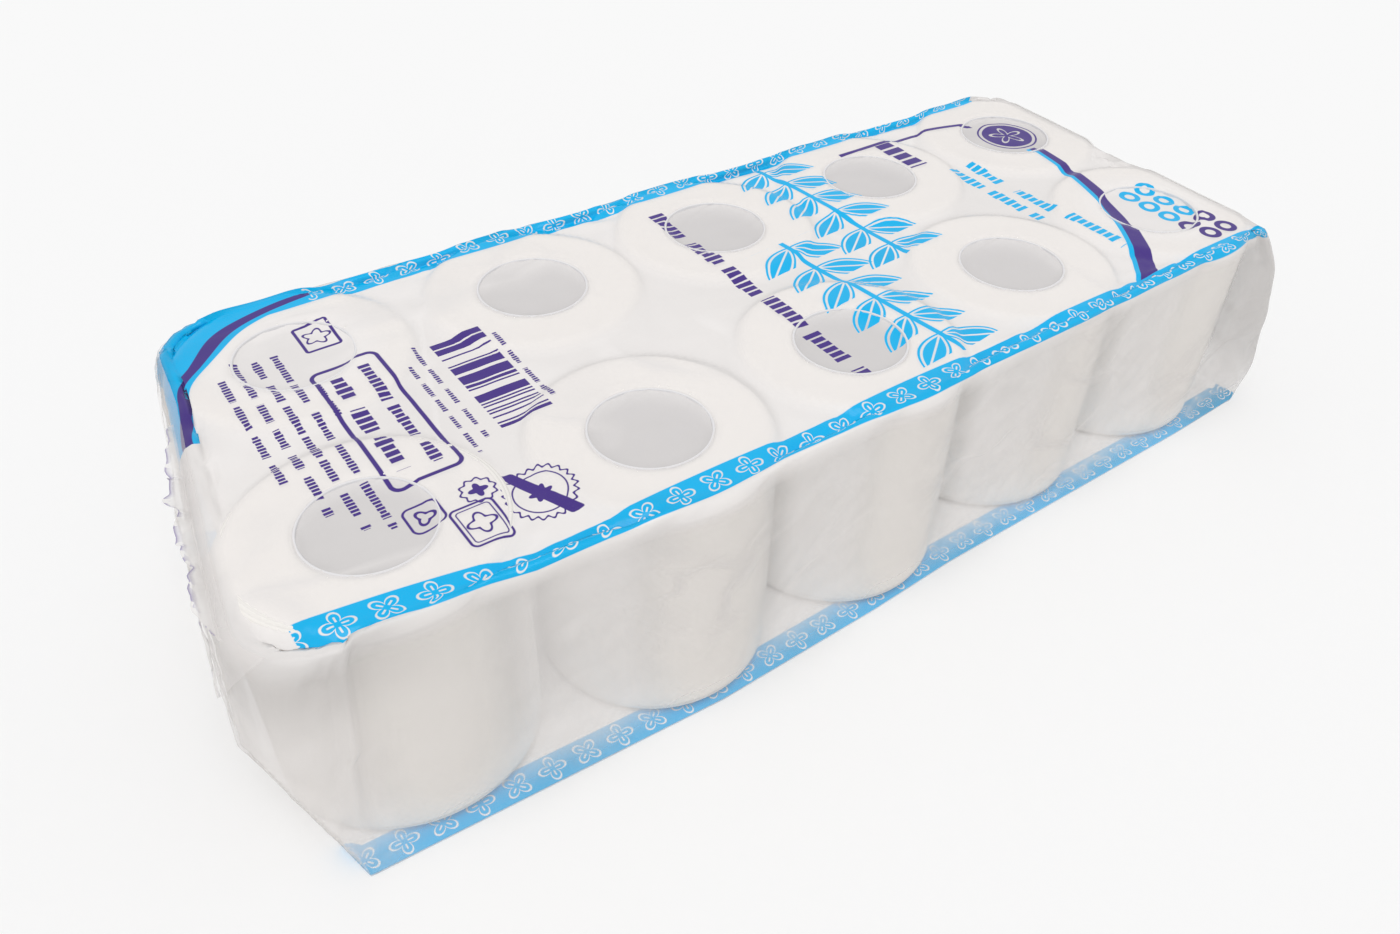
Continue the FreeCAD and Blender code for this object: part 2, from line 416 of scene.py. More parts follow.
coreStyle = {
    "wall": 0.9,
    "edge": 0.25,
    "around": 96,
    "rows": 14,
    "seamTurns": 1.35,      # how often the seam winds round the tube
    "light": (0.57, 0.56, 0.63, 1.0),
    "dark": (0.45, 0.44, 0.50, 1.0),
    "rim": (0.80, 0.79, 0.80, 1.0),     # the cut edge, pale with tissue dust
    "rimDepth": (2.0, 0.3),             # mm below the top where the pale edge begins and is full
    "seamHalf": 0.008,                  # half width of the seam's line, in turns
    "bump": 0.0004,                     # metres
}


def boardMaterial():
    style = coreStyle
    material, tree, shader = newMaterial("coreBoard", {"Roughness": 0.85, "Specular IOR Level": 0.25})
    place = objectPlace(tree)
    marks = useGroup(tree, fibres, {"Place": place, "Cloud Size": 60.0, "Fibre Size": 500.0})
    seam = tree.nodes.new("ShaderNodeAttribute")
    seam.attribute_name = "winding"
    parts = tree.nodes.new("ShaderNodeSeparateXYZ")
    tree.links.new(seam.outputs["Vector"], parts.inputs[0])
    away = calc(tree, "ABSOLUTE", minus(tree, calc(tree, "FRACT", parts.outputs[0]), 0.5))
    line = softMask(tree, minus(tree, away, style["seamHalf"]), 0.012)
    tone = calc(tree, "SUBTRACT", marks["Tone"], times(tree, line, 0.5), clamp=True)
    wall = blend(tree, tone, style["dark"], style["light"])
    tree.links.new(blend(tree, parts.outputs[2], wall, style["rim"]), shader.inputs["Base Color"])
    addBump(tree, shader, minus(tree, marks["Height"], line), 0.5, style["bump"])
    return material


def addCore(name, place, material, replaced):
    style = coreStyle
    height = rollTop - rollBase
    inner = coreRadius - style["wall"]
    edge = style["edge"]
    heights = np.linspace(edge, height - edge, style["rows"])
    profile = [(inner, z) for z in heights[::-1]]
    profile += [(inner + edge, 0.0), (coreRadius - edge, 0.0)]
    profile += [(coreRadius, z) for z in heights]
    profile += [(coreRadius - edge, height), (inner + edge, height)]
    profile = np.array(profile)
    angles = np.linspace(0.0, 2 * math.pi, style["around"], endpoint=False)
    angle, row = np.meshgrid(angles, np.arange(len(profile)), indexing="ij")
    radius = profile[row, 0]
    up = profile[row, 1]
    points = np.stack([place[0] + radius * np.cos(angle), place[1] + radius * np.sin(angle),
                       rollBase + up], axis=-1)
    winding = angle / (2 * math.pi) + up / height * style["seamTurns"]
    faces = gridFaces(ringIndex(angle.shape))
    piece = addPiece(name, pressSlope(points.reshape(-1, 3)), faces, material, replaced)
    rimStart, rimFull = style["rimDepth"]
    cut = smoothStep(up, height - rimStart, height - rimFull)
    addAttribute(piece, "winding", np.stack([winding, winding, cut], axis=-1).reshape(-1, 3))


board = boardMaterial()
for i, place in enumerate(rollPlaces):
    rowName = "front" if i < 5 else "back"
    addCore(f"{rowName}_core_{i % 5 + 1}", place, board, [rowName + "_cores"])
print("cores made")


# Film wrap: a closed sheet of small quads, laid round the rolls and then settled on them

filmStyle = {
    "cell": 2.6,                        # side of one quad, mm
    "gap": 0.35,                        # film to tissue
    "top": 101.2,                       # height of the loose top before it settles
    "foot": 0.12,                       # height of the bottom sheet over the floor
    "rim": 6.0,                         # rounding of the top edge
    "footRim": 1.4,
    "reach": 45.9,                      # film to roll axis
    "cornersHigh": [30.0, 7.0, 18.0, 22.0],    # front left, front right, back right, back left
    "cornersLow": [26.0, 7.0, 8.0, 8.0],
    "earHeights": [56.0, 40.0, 34.0, 44.0],
    # the near foot is a nearly straight fold: (x along the print, how far in front of the pack's middle)
    "footFold": [(-260.0, 90.5), (-222.0, 92.0), (-88.0, 99.2), (-11.0, 97.6), (34.0, 95.2), (188.0, 94.5),
                 (260.0, 92.0)],
    "foldHeight": 42.0,
    "baseEdge": 93.0,                   # where the print counts both long edges of the base, mm
    "unprinted": 900.0,                 # a place far off the print
    # spare length of the film: everywhere, and more down the sides, near the foot and on the ends
    "spare": {"all": 0.004, "sides": 0.006, "low": 0.008, "ends": 0.008},
    "lowHeights": (10.0, 70.0),         # near the foot: all of it below the first height, none over the second
    "sideTop": 100.0,                   # down the sides: none over this height, all of it further down
    "sideFade": 12.0,
    "endFade": 12.0,                    # on the ends: it sets in this far inside the outermost rolls' sides
    # the printed rim bends, but isn't pressed together
    "stiffRim": {"depth": 16.0, "from": 62.0, "press": 0.95},
    "patches": (25.0, 120.0),           # lengths of its looser and tighter patches, mm
    "crumple": 0.12,                    # uneven start, mm
    "crumples": (8.0, 20.0),
    "inward": 0.022,                    # how far a round draws the sides in, and the top down, mm
    "downward": 0.012,
    "slackReach": (14.0, 4.0),          # the ends are hardly drawn in: from this far inside to this far outside
    "slackShare": 0.9,
    "rounds": 260,
    "drawn": 0.75,                      # share of the rounds with that draw
    "relax": 1.9,
    "seed": 5,
}


def crossPoint(p, u, q, v):
    k = ((q[0] - p[0]) * v[1] - (q[1] - p[1]) * v[0]) / (u[0] * v[1] - u[1] * v[0])
    return p + u * k


def hullLine(centres, reach, xs):
    # lower side of the tight loop round a row of circles
    turn = np.radians(np.arange(180.0, 360.1, 1.5))
    cloud = np.concatenate([c + reach * np.stack([np.cos(turn), np.sin(turn)], axis=1) for c in centres])
    cloud = cloud[np.argsort(cloud[:, 0])]
    chain = []
    for p in cloud:
        while len(chain) > 1:
            a, b = chain[-2], chain[-1]
            if (b[0] - a[0]) * (p[1] - a[1]) - (b[1] - a[1]) * (p[0] - a[0]) > 0:
                break
            chain.pop()
        chain.append(p)
    chain = np.array(chain)
    first, last = centres[0], centres[-1]
    inside = np.clip(xs, first[0], last[0])
    return np.interp(inside, chain[:, 0], chain[:, 1])


def planRing(reach, leftReach, rightReach, radii, counts):
    # closed outline in plan, anticlockwise from the front left corner
    front, back = rollPlaces[:5], rollPlaces[5:]
    across, along = counts[1], counts[0]
    leftRun = back[0] - front[0]
    rightRun = back[-1] - front[-1]
    leftOut = np.array([-leftRun[1], leftRun[0]]) / np.linalg.norm(leftRun) * leftReach
    rightOut = np.array([rightRun[1], -rightRun[0]]) / np.linalg.norm(rightRun) * rightReach
    level = np.array([1.0, 0.0])
    down = np.array([0.0, -reach])
    corners = [
        crossPoint(front[0] + down, level, front[0] + leftOut, leftRun),
        crossPoint(front[-1] + down, level, front[-1] + rightOut, rightRun),
        crossPoint(back[-1] - down, level, back[-1] + rightOut, rightRun),
        crossPoint(back[0] - down, level, back[0] + leftOut, leftRun),
    ]
    xs = np.linspace(corners[0][0], corners[1][0], along + 1)
    frontSide = np.stack([xs, hullLine(front, reach, xs)], axis=1)
    xs = np.linspace(corners[2][0], corners[3][0], along + 1)
    flipped = back * np.array([1.0, -1.0])
    backSide = np.stack([xs, -hullLine(flipped, reach, xs)], axis=1)
    share = np.linspace(0.0, 1.0, across + 1)[:, None]
    rightSide = corners[1] + (corners[2] - corners[1]) * share
    leftSide = corners[3] + (corners[0] - corners[3]) * share
    sides = [frontSide, rightSide, backSide, leftSide]
    for i, corner in enumerate(corners):
        before, after = sides[i - 1], sides[i]
        toBefore = (before[-2] - corner) / np.linalg.norm(before[-2] - corner)
        toAfter = (after[1] - corner) / np.linalg.norm(after[1] - corner)
        for side, mine, other in ((after, toAfter, toBefore), (before, toBefore, toAfter)):
            distance = np.linalg.norm(side - corner, axis=1)
            close = distance < radii[i]
            turn = (1 - distance[close] / radii[i]) * math.pi / 4
            side[close] = (corner + np.outer(radii[i] * (1 - np.sin(turn)), mine)
                           + np.outer(radii[i] * (1 - np.cos(turn)), other))
    return np.concatenate([side[:-1] for side in sides])


def fillPatch(ring, counts):
    # grid between the four sides of a ring, by blending opposite sides
    along, across = counts
    front = ring[:along + 1]
    right = ring[along:along + across + 1]
    back = ring[along + across:2 * along + across + 1][::-1]
    left = np.concatenate([ring[2 * along + across:], ring[:1]])[::-1]
    s = np.linspace(0.0, 1.0, along + 1)[:, None, None]
    t = np.linspace(0.0, 1.0, across + 1)[None, :, None]
    ruled = (1 - t) * front[:, None] + t * back[:, None] + (1 - s) * left[None] + s * right[None]
    nearCorners = (1 - s) * (1 - t) * front[0] + s * (1 - t) * front[-1]
    corners = nearCorners + (1 - s) * t * back[0] + s * t * back[-1]
    return ruled - corners


def ringNumbers(counts):
    # place of each border point of a patch in the ring
    along, across = counts
    total = 2 * (along + across)
    grid = np.full((along + 1, across + 1), -1)
    grid[:, 0] = np.arange(along + 1)
    grid[-1, :] = along + np.arange(across + 1)
    grid[:, -1] = (along + across + np.arange(along + 1))[::-1]
    grid[0, :] = (2 * along + across + np.arange(across + 1))[::-1] % total
    return grid


def foldFoot(plan, height):
    # draws the near side out to its foot fold, and the front left corner in under the belly
    xs, outs = np.array(filmStyle["footFold"]).T
    share = max(0.0, 1.0 - height / filmStyle["foldHeight"])
    fold = -np.interp(plan[:, 0] - printOrigin[0], xs, outs)
    near = smoothStep(-plan[:, 1], 60.0, 88.0)
    plan[:, 1] += np.minimum(fold - plan[:, 1], 0.0) * share * near
    heights, outs = np.array(ends["tuck"]).T
    way = np.array(ends["tuckWay"])
    beyond = (plan - rollPlaces[0]) @ way - ends["reach"] - np.interp(height, heights, outs)
    plan -= np.outer(np.maximum(beyond, 0.0), way)


def cornerRadii(height):
    style = filmStyle
    radii = []
    for high, low, ear in zip(style["cornersHigh"], style["cornersLow"], style["earHeights"]):
        share = max(0.0, 1.0 - height / ear)
        radii.append(high + (low - high) * share ** 1.3)
    return np.array(radii)


def layFilm():
    # loose film before it settles: belt rows from the top edge to the foot, then both flat sheets
    style = filmStyle
    length = rollPlaces[:, 0].max() - rollPlaces[:, 0].min() + 2 * style["reach"]
    depth = rollPlaces[:, 1].max() - rollPlaces[:, 1].min() + 2 * style["reach"]
    counts = (round(length / style["cell"]), round(depth / style["cell"]))
    total = 2 * sum(counts)
    rows = []
    for turn in np.linspace(0.0, 1.0, 5) * math.pi / 2:
        rows.append((style["rim"] * (1 - math.sin(turn)), style["top"] - style["rim"] * (1 - math.cos(turn))))
    straight = style["top"] - style["rim"] - style["footRim"] - style["foot"]
    for share in np.linspace(0.0, 1.0, round(straight / style["cell"]) + 1)[1:]:
        rows.append((0.0, style["top"] - style["rim"] - straight * share))
    for turn in np.linspace(0.0, 1.0, 3)[1:] * math.pi / 2:
        rows.append((style["footRim"] * (1 - math.cos(turn)),
                     style["foot"] + style["footRim"] * (1 - math.sin(turn))))
    belt = np.zeros((len(rows), total, 3))
    for k, (inset, height) in enumerate(rows):
        reach = style["reach"] - inset
        ring = planRing(reach, reach + swellAt("left", height), reach + swellAt("right", height),
                        np.maximum(cornerRadii(height) - inset, 1.0), counts)
        foldFoot(ring, height)
        belt[k, :, :2] = ring
        belt[k, :, 2] = height
    plan = belt[4, :, :2]
    tangent = np.roll(plan, -1, axis=0) - np.roll(plan, 1, axis=0)
    outward = np.stack([tangent[:, 1], -tangent[:, 0]], axis=1)
    outward /= np.linalg.norm(outward, axis=1)[:, None]
    top = np.zeros((counts[0] + 1, counts[1] + 1, 3))
    top[:, :, :2] = fillPatch(belt[0, :, :2], counts)
    top[:, :, 2] = rows[0][1]
    bottom = np.zeros_like(top)
    bottom[:, :, :2] = fillPatch(belt[-1, :, :2], counts)
    bottom[:, :, 2] = style["foot"]
    numbers = ringNumbers(counts)
    border = numbers >= 0
    beltIndex = np.arange(belt.shape[0] * total).reshape(belt.shape[0], total)
    topIndex = np.full(numbers.shape, -1)
    topIndex[border] = beltIndex[0][numbers[border]]
    topIndex[~border] = beltIndex.size + np.arange((~border).sum())
    bottomIndex = np.full(numbers.shape, -1)
    bottomIndex[border] = beltIndex[-1][numbers[border]]
    bottomIndex[~border] = beltIndex.size + (~border).sum() + np.arange((~border).sum())
    points = np.concatenate([belt.reshape(-1, 3), top[~border], bottom[~border]])
    wrapped = np.concatenate([beltIndex, beltIndex[:, :1]], axis=1)
    faces = np.concatenate([
        gridFaces(topIndex),
        gridFaces(wrapped[::-1].T),
        gridFaces(bottomIndex, flip=True),
    ])
    # flat places of the print: along, across, and how far over the edge
    steps = np.linalg.norm(np.diff(belt, axis=0), axis=2)
    down = np.concatenate([np.zeros((1, total)), np.cumsum(steps, axis=0)])
    web = np.full((len(points), 3), style["unprinted"])
    base = np.full((len(points), 3), style["unprinted"])
    topRing = belt[0, :, :2] - printOrigin
    footRing = belt[-1, :, :2] - printOrigin
    nearEdge = footRing[:counts[0] + 1]
    farEdge = footRing[counts[0] + counts[1]:2 * counts[0] + counts[1] + 1][::-1]

    def fromEdge(place):
        # across the base, measured so that both of its long edges lie at the same distance
        near = place[:, 1] - np.interp(place[:, 0], nearEdge[:, 0], nearEdge[:, 1]) - style["baseEdge"]
        back = place[:, 1] - np.interp(place[:, 0], farEdge[:, 0], farEdge[:, 1]) + style["baseEdge"]
        return np.stack([place[:, 0], np.where(place[:, 1] < 0, near, back)], axis=1)

    footPlace = fromEdge(footRing)
    for k in range(len(rows)):
        web[beltIndex[k], :2] = topRing + outward * down[k][:, None]
        web[beltIndex[k], 2] = down[k]
        up = (down[-1] - down[k])[:, None]
        base[beltIndex[k], :2] = footPlace + outward * up
        base[beltIndex[k], 2] = up[:, 0]
    inner = topIndex[~border]
    web[inner, :2] = points[inner, :2] - printOrigin
    web[inner, 2] = 0.0
    under = bottomIndex[~border]
    base[under, :2] = fromEdge(points[under, :2] - printOrigin)
    base[under, 2] = 0.0
    return {"points": points, "faces": faces, "web": web, "base": base, "belt": beltIndex, "top": topIndex,
            "bottom": bottomIndex, "counts": counts, "outward": outward}


def filmLinks(film):
    # stretch, shear and bend links, each with how hard it resists pulling and pressing
    belt = np.concatenate([film["belt"], film["belt"][:, :2]], axis=1)
    straight, diagonal, bend = (1.0, 0.25), (0.45, 0.12), (0.0, 0.16)
    groups = []
    for grid, closed in ((belt, True), (film["top"], False)):
        last = -1 if closed else None
        once = -2 if closed else None       # the closed belt's first two columns come again at its end
        groups.append((grid[:, :-1][:, :last], grid[:, 1:][:, :last], straight))
        groups.append((grid[:-1, :][:, :once], grid[1:, :][:, :once], straight))
        groups.append((grid[:-1, :-1][:, :last], grid[1:, 1:][:, :last], diagonal))
        groups.append((grid[1:, :-1][:, :last], grid[:-1, 1:][:, :last], diagonal))
        groups.append((grid[:, :-2], grid[:, 2:], bend))
        groups.append((grid[:-2, :][:, :once], grid[2:, :][:, :once], bend))
    first = np.concatenate([start.ravel() for start, end, stiff in groups])
    second = np.concatenate([end.ravel() for start, end, stiff in groups])
    pull = np.concatenate([np.full(start.size, stiff[0]) for start, end, stiff in groups])
    press = np.concatenate([np.full(start.size, stiff[1]) for start, end, stiff in groups])
    rim = filmStyle["stiffRim"]
    place = film["web"][first]
    near = (place[:, 2] < rim["depth"]) & (np.abs(place[:, 1]) > rim["from"]) & (pull > 0.0)
    press[near] = rim["press"]
    return first, second, pull, press


def clearRolls(points, nearest, gap):
    # moves film out of the rolls; the mouth of a core holds nothing up
    middle = (rollTop + rollBase) / 2
    half = (rollTop - rollBase) / 2
    rim = rollStyle["rim"]
    for k in range(nearest.shape[1]):
        centre = rollPlaces[nearest[:, k]]
        away = points[:, :2] - centre
        radial = np.maximum(np.linalg.norm(away, axis=1), 1e-6)
        rise = points[:, 2] - middle
        qx = radial - (rollRadius - rim)
        qz = np.abs(rise) - (half - rim)
        ox = np.maximum(qx, 0.0)
        oz = np.maximum(qz, 0.0)
        outside = np.hypot(ox, oz)
        inRoll = outside + np.minimum(np.maximum(qx, qz), 0.0) - rim
        corner = outside > 1e-6
        gx = np.where(corner, ox / np.maximum(outside, 1e-6), (qx > qz).astype(float))
        gz = np.where(corner, oz / np.maximum(outside, 1e-6), (qx <= qz).astype(float))
        inSlope, way = slopeDistance(points)
        inSlope += ends["slopeInset"]
        sloped = inSlope > inRoll
        depth = gap - np.maximum(inRoll, inSlope)
        hit = (depth > 0) & (radial > coreRadius) & ~sloped
        points[hit, :2] += (away / radial[:, None] * (gx * depth)[:, None])[hit]
        points[hit, 2] += (np.sign(rise) * gz * depth)[hit]
        hit = (depth > 0) & sloped & (inRoll < gap)
        points[hit] += np.outer(depth[hit], way)


def settleFilm(film):
    style = filmStyle
    points = film["points"].copy()
    count = len(points)
    first, second, pull, press = filmLinks(film)
    rest = np.linalg.norm(points[second] - points[first], axis=1)
    middle = (points[first] + points[second]) / 2
    way = (points[second] - points[first]) / rest[:, None]
    low = 1 - smoothStep(middle[:, 2], *style["lowHeights"])
    belt = smoothStep(style["sideTop"] - middle[:, 2], 0.0, style["sideFade"])
    reachLeft = rollPlaces[0, 0] - rollRadius
    reachRight = rollPlaces[4, 0] + rollRadius
    loose = smoothStep(-middle[:, 0], -reachLeft - style["endFade"], -reachLeft)
    loose = loose + smoothStep(middle[:, 0], reachRight - style["endFade"], reachRight)
    more = style["spare"]
    spare = more["all"] + more["sides"] * belt + more["low"] * low + more["ends"] * loose
    patchy = 0.5 + 0.5 * np.tanh(1.5 * softNoise(middle, style["seed"], *style["patches"]))
    rest = rest * (1 + spare * patchy * (1 + np.abs(way[:, 2])))
    stiffest = np.maximum(pull, press)
    share = np.bincount(first, stiffest, count) + np.bincount(second, stiffest, count)
    share = np.maximum(share, 1.0)
    free = np.ones(count)
    free[film["bottom"].ravel()] = 0.0
    distances = np.linalg.norm(points[:, None, :2] - rollPlaces[None], axis=2)
    nearest = np.argsort(distances, axis=1)[:, :2]
    uneven = [softNoise(points, style["seed"] + k, *style["crumples"]) for k in (1, 2, 3)]
    points += free[:, None] * style["crumple"] * np.stack(uneven, axis=1)
    inside, outside = style["slackReach"]
    slack = smoothStep(-points[:, 0], -reachLeft - inside, -reachLeft + outside)
    slack += smoothStep(points[:, 0], reachRight - inside, reachRight + outside)
    push = np.zeros((count, 3))
    beltPoints = film["belt"].ravel()
    push[beltPoints, :2] = np.tile(-film["outward"], (film["belt"].shape[0], 1)) * style["inward"]
    push *= (1 - style["slackShare"] * slack)[:, None]
    push *= smoothStep(points[:, 2], -10.0, 30.0)[:, None]
    push[film["top"].ravel(), 2] -= style["downward"]
    push *= free[:, None]
    for step in range(style["rounds"]):
        delta = points[second] - points[first]
        length = np.sqrt((delta * delta).sum(axis=1))
        excess = (length - rest) / np.maximum(length, 1e-9)
        delta *= (np.where(excess > 0, pull, press) * excess * 0.5)[:, None]
        for axis in range(3):
            change = np.bincount(first, delta[:, axis], count) - np.bincount(second, delta[:, axis], count)
            points[:, axis] += free * change / share * style["relax"]
        if step < style["rounds"] * style["drawn"]:
            points += push
        clearRolls(points, nearest, style["gap"])
        np.maximum(points[:, 2], style["foot"], out=points[:, 2])
    return points


# Print on the film: groups for each kind of mark, in mm on the flat web

inkCyan = (0.000, 0.465, 0.860, 1.0)
inkPurple = (0.062, 0.030, 0.235, 1.0)


def fillAndLine(group, distance, entry, leave):
    # the mark's inside, and a line of its own width just within its edge
    half = times(group, entry["Line"], 0.5)
    edge = minus(group, calc(group, "ABSOLUTE", calc(group, "ADD", distance, half)), half)
    group.links.new(softMask(group, distance), leave["Fill"])
    group.links.new(softMask(group, edge), leave["Outline"])


def boxGroup():
    # rounded box, filled or as a line
    group, entry, leave = newGroup("boxMark", {
        "X": 0.0, "Y": 0.0, "Centre X": 0.0, "Centre Y": 0.0, "Half X": 10.0, "Half Y": 10.0,
        "Corner": 3.0, "Line": 1.2}, ["Fill", "Outline"])
    outs = []
    for axis in ("X", "Y"):
        away = calc(group, "ABSOLUTE", minus(group, entry[axis], entry["Centre " + axis]))
        outs.append(minus(group, away, minus(group, entry["Half " + axis], entry["Corner"])))
    far = lengthOf(group, *[calc(group, "MAXIMUM", out, 0.0) for out in outs])
    near = calc(group, "MINIMUM", calc(group, "MAXIMUM", *outs), 0.0)
    distance = minus(group, calc(group, "ADD", far, near), entry["Corner"])
    fillAndLine(group, distance, entry, leave)
    return group


def ringGroup():
    # round mark with any number of lobes, filled or as a line
    group, entry, leave = newGroup("ringMark", {
        "X": 0.0, "Y": 0.0, "Centre X": 0.0, "Centre Y": 0.0, "Radius": 10.0, "Lobes": 0.0, "Lobe Depth": 0.0,
        "Line": 1.2}, ["Fill", "Outline"])
    dx = minus(group, entry["X"], entry["Centre X"])
    dy = minus(group, entry["Y"], entry["Centre Y"])
    turn = times(group, calc(group, "ARCTAN2", dy, dx), entry["Lobes"])
    radius = calc(group, "MULTIPLY_ADD", calc(group, "COSINE", turn), entry["Lobe Depth"], entry["Radius"])
    fillAndLine(group, minus(group, lengthOf(group, dx, dy), radius), entry, leave)
    return group


def cellDice(tree, cells, seed):
    # a number from 0 to 1 for each whole step
    dice = tree.nodes.new("ShaderNodeTexWhiteNoise")
    dice.noise_dimensions = "1D"
    tree.links.new(calc(tree, "ADD", calc(tree, "FLOOR", cells), seed), dice.inputs["W"])
    return dice.outputs["Value"]


def barGroup():
    # row of words as plain blocks of uneven length and height, read along -Y
    group, entry, leave = newGroup("barRow", {
        "X": 0.0, "Y": 0.0, "Row X": 0.0, "Start Y": 50.0, "End Y": -50.0, "Thickness": 4.0, "Pitch": 20.0,
        "Block": 2.0, "Seed": 0.0}, ["Mask"])
    length = minus(group, entry["Start Y"], entry["Y"])
    along = calc(group, "DIVIDE", length, entry["Pitch"])
    blocks = calc(group, "DIVIDE", length, entry["Block"])
    # how much of each word's pitch is filled, and how tall each block is
    filled = calc(group, "MULTIPLY_ADD", cellDice(group, along, entry["Seed"]), 0.24, 0.66)
    tall = calc(group, "MULTIPLY_ADD", cellDice(group, blocks, entry["Seed"]), 0.16, 0.34)
    bar = softMask(group, times(group, minus(group, calc(group, "FRACT", along), filled), entry["Pitch"]))
    gap = softMask(group, times(group, minus(group, calc(group, "FRACT", blocks), 0.74), entry["Block"]))
    away = calc(group, "ABSOLUTE", minus(group, entry["X"], entry["Row X"]))
    row = softMask(group, minus(group, away, times(group, entry["Thickness"], tall)))
    window = within(group, entry["Y"], entry["End Y"], entry["Start Y"])
    group.links.new(times(group, times(group, bar, row), times(group, window, gap)), leave["Mask"])
    return group


def turned(tree, x, y, angle):
    # the same place along and across a direction
    cosine = calc(tree, "COSINE", angle)
    sine = calc(tree, "SINE", angle)
    along = calc(tree, "ADD", times(tree, x, cosine), times(tree, y, sine))
    return along, minus(tree, times(tree, y, cosine), times(tree, x, sine))


# widths in mm; bare is the gap between a leaf's line and its inside
sprigStyle = {"line": 1.1, "bare": 1.5, "rib": 0.8, "stem": 2.6}


def sprigGroup():
    # straight stem with pairs of leaves: a line round each leaf, and its filled inside with a bare rib
    group, entry, leave = newGroup("leafSprig", {
        "X": 0.0, "Y": 0.0, "Start X": 0.0, "Start Y": 0.0, "Direction": 0.0, "Length": 80.0, "Pitch": 18.0,
        "Leaf Length": 27.0, "Leaf Width": 11.5, "Lean": 1.0}, ["Outline", "Fill"])
    look = sprigStyle
    dx = minus(group, entry["X"], entry["Start X"])
    dy = minus(group, entry["Y"], entry["Start Y"])
    along, across = turned(group, dx, dy, entry["Direction"])
    wide = calc(group, "ABSOLUTE", across)
    cell = times(group, calc(group, "FRACT", calc(group, "DIVIDE", along, entry["Pitch"])), entry["Pitch"])
    inCell = minus(group, cell, times(group, entry["Leaf Width"], 0.42))
    # along and across the leaf, which is widest halfway
    p, q = turned(group, inCell, wide, entry["Lean"])
    q = calc(group, "ABSOLUTE", q)
    share = minus(group, calc(group, "DIVIDE", times(group, p, 2.0), entry["Leaf Length"]), 1.0)
    crown = minus(group, 1.0, times(group, share, share))
    distance = minus(group, q, times(group, crown, times(group, entry["Leaf Width"], 0.5)))
    line = softMask(group, minus(group, calc(group, "ABSOLUTE", distance), look["line"] / 2))
    fill = softMask(group, calc(group, "ADD", distance, look["bare"]))
    rib = softMask(group, minus(group, look["rib"] / 2, q))
    stem = softMask(group, minus(group, wide, look["stem"] / 2))
    window = within(group, along, 0.0, entry["Length"])
    group.links.new(times(group, calc(group, "MAXIMUM", line, stem), window), leave["Outline"])
    group.links.new(times(group, times(group, fill, rib), window), leave["Fill"])
    return group


flowerStyle = {"line": 0.72, "vein": 1.1, "veinPlace": 2.1, "veinHalf": 1.0}       # mm


def bandGroup():
    # stripe with small four-petalled flowers left bare, every second one turned an eighth
    group, entry, leave = newGroup("flowerBand", {
        "X": 0.0, "Y": 0.0, "Centre Y": 0.0, "Half Width": 6.0, "Start X": -220.0, "End X": 260.0,
        "Pitch": 13.5, "Petal": 4.9}, ["Ink"])
    dy = minus(group, entry["Y"], entry["Centre Y"])
    band = softMask(group, minus(group, calc(group, "ABSOLUTE", dy), entry["Half Width"]))
    window = within(group, entry["X"], entry["Start X"], entry["End X"])
    cells = calc(group, "DIVIDE", entry["X"], entry["Pitch"])
    odd = calc(group, "FLOORED_MODULO", calc(group, "FLOOR", cells), 2.0)
    dx = times(group, minus(group, calc(group, "FRACT", cells), 0.5), entry["Pitch"])
    away = lengthOf(group, dx, dy)
    turn = calc(group, "MULTIPLY_ADD", odd, math.pi / 4, calc(group, "ARCTAN2", dy, dx))
    turn = times(group, turn, 2.0)
    lobes = calc(group, "ABSOLUTE", calc(group, "COSINE", turn))
    edge = times(group, entry["Petal"], calc(group, "MULTIPLY_ADD", lobes, 0.68, 0.32))
    petals = nearTo(group, away, edge, flowerStyle["line"] / 2)
    # a short vein from the heart into each petal
    slant = times(group, away, calc(group, "ABSOLUTE", calc(group, "SINE", turn)))
    vein = softMask(group, minus(group, slant, flowerStyle["vein"] / 2))
    veins = times(group, vein, nearTo(group, away, flowerStyle["veinPlace"], flowerStyle["veinHalf"]))
    bare = minus(group, 1.0, calc(group, "MAXIMUM", petals, veins))
    group.links.new(times(group, times(group, band, window), bare), leave["Ink"])
    return group


creaseStyle = {
    "bendSize": 9.0,        # noise that bends the lines, and how far it moves them, metres
    "bendReach": 0.05,
    "ways": ((1.0, 0.45, 1.6), (0.4, 1.0, 0.8)),    # two sets of lines, each stretched its own way
    "sharpness": -26.0,
    "cloudSize": 14.0,
    "cloudGain": (5.0, -2.3),       # the cloud's contrast where it lets the lines show
    "fineShare": 0.35,
    "lineShare": 0.5,
}


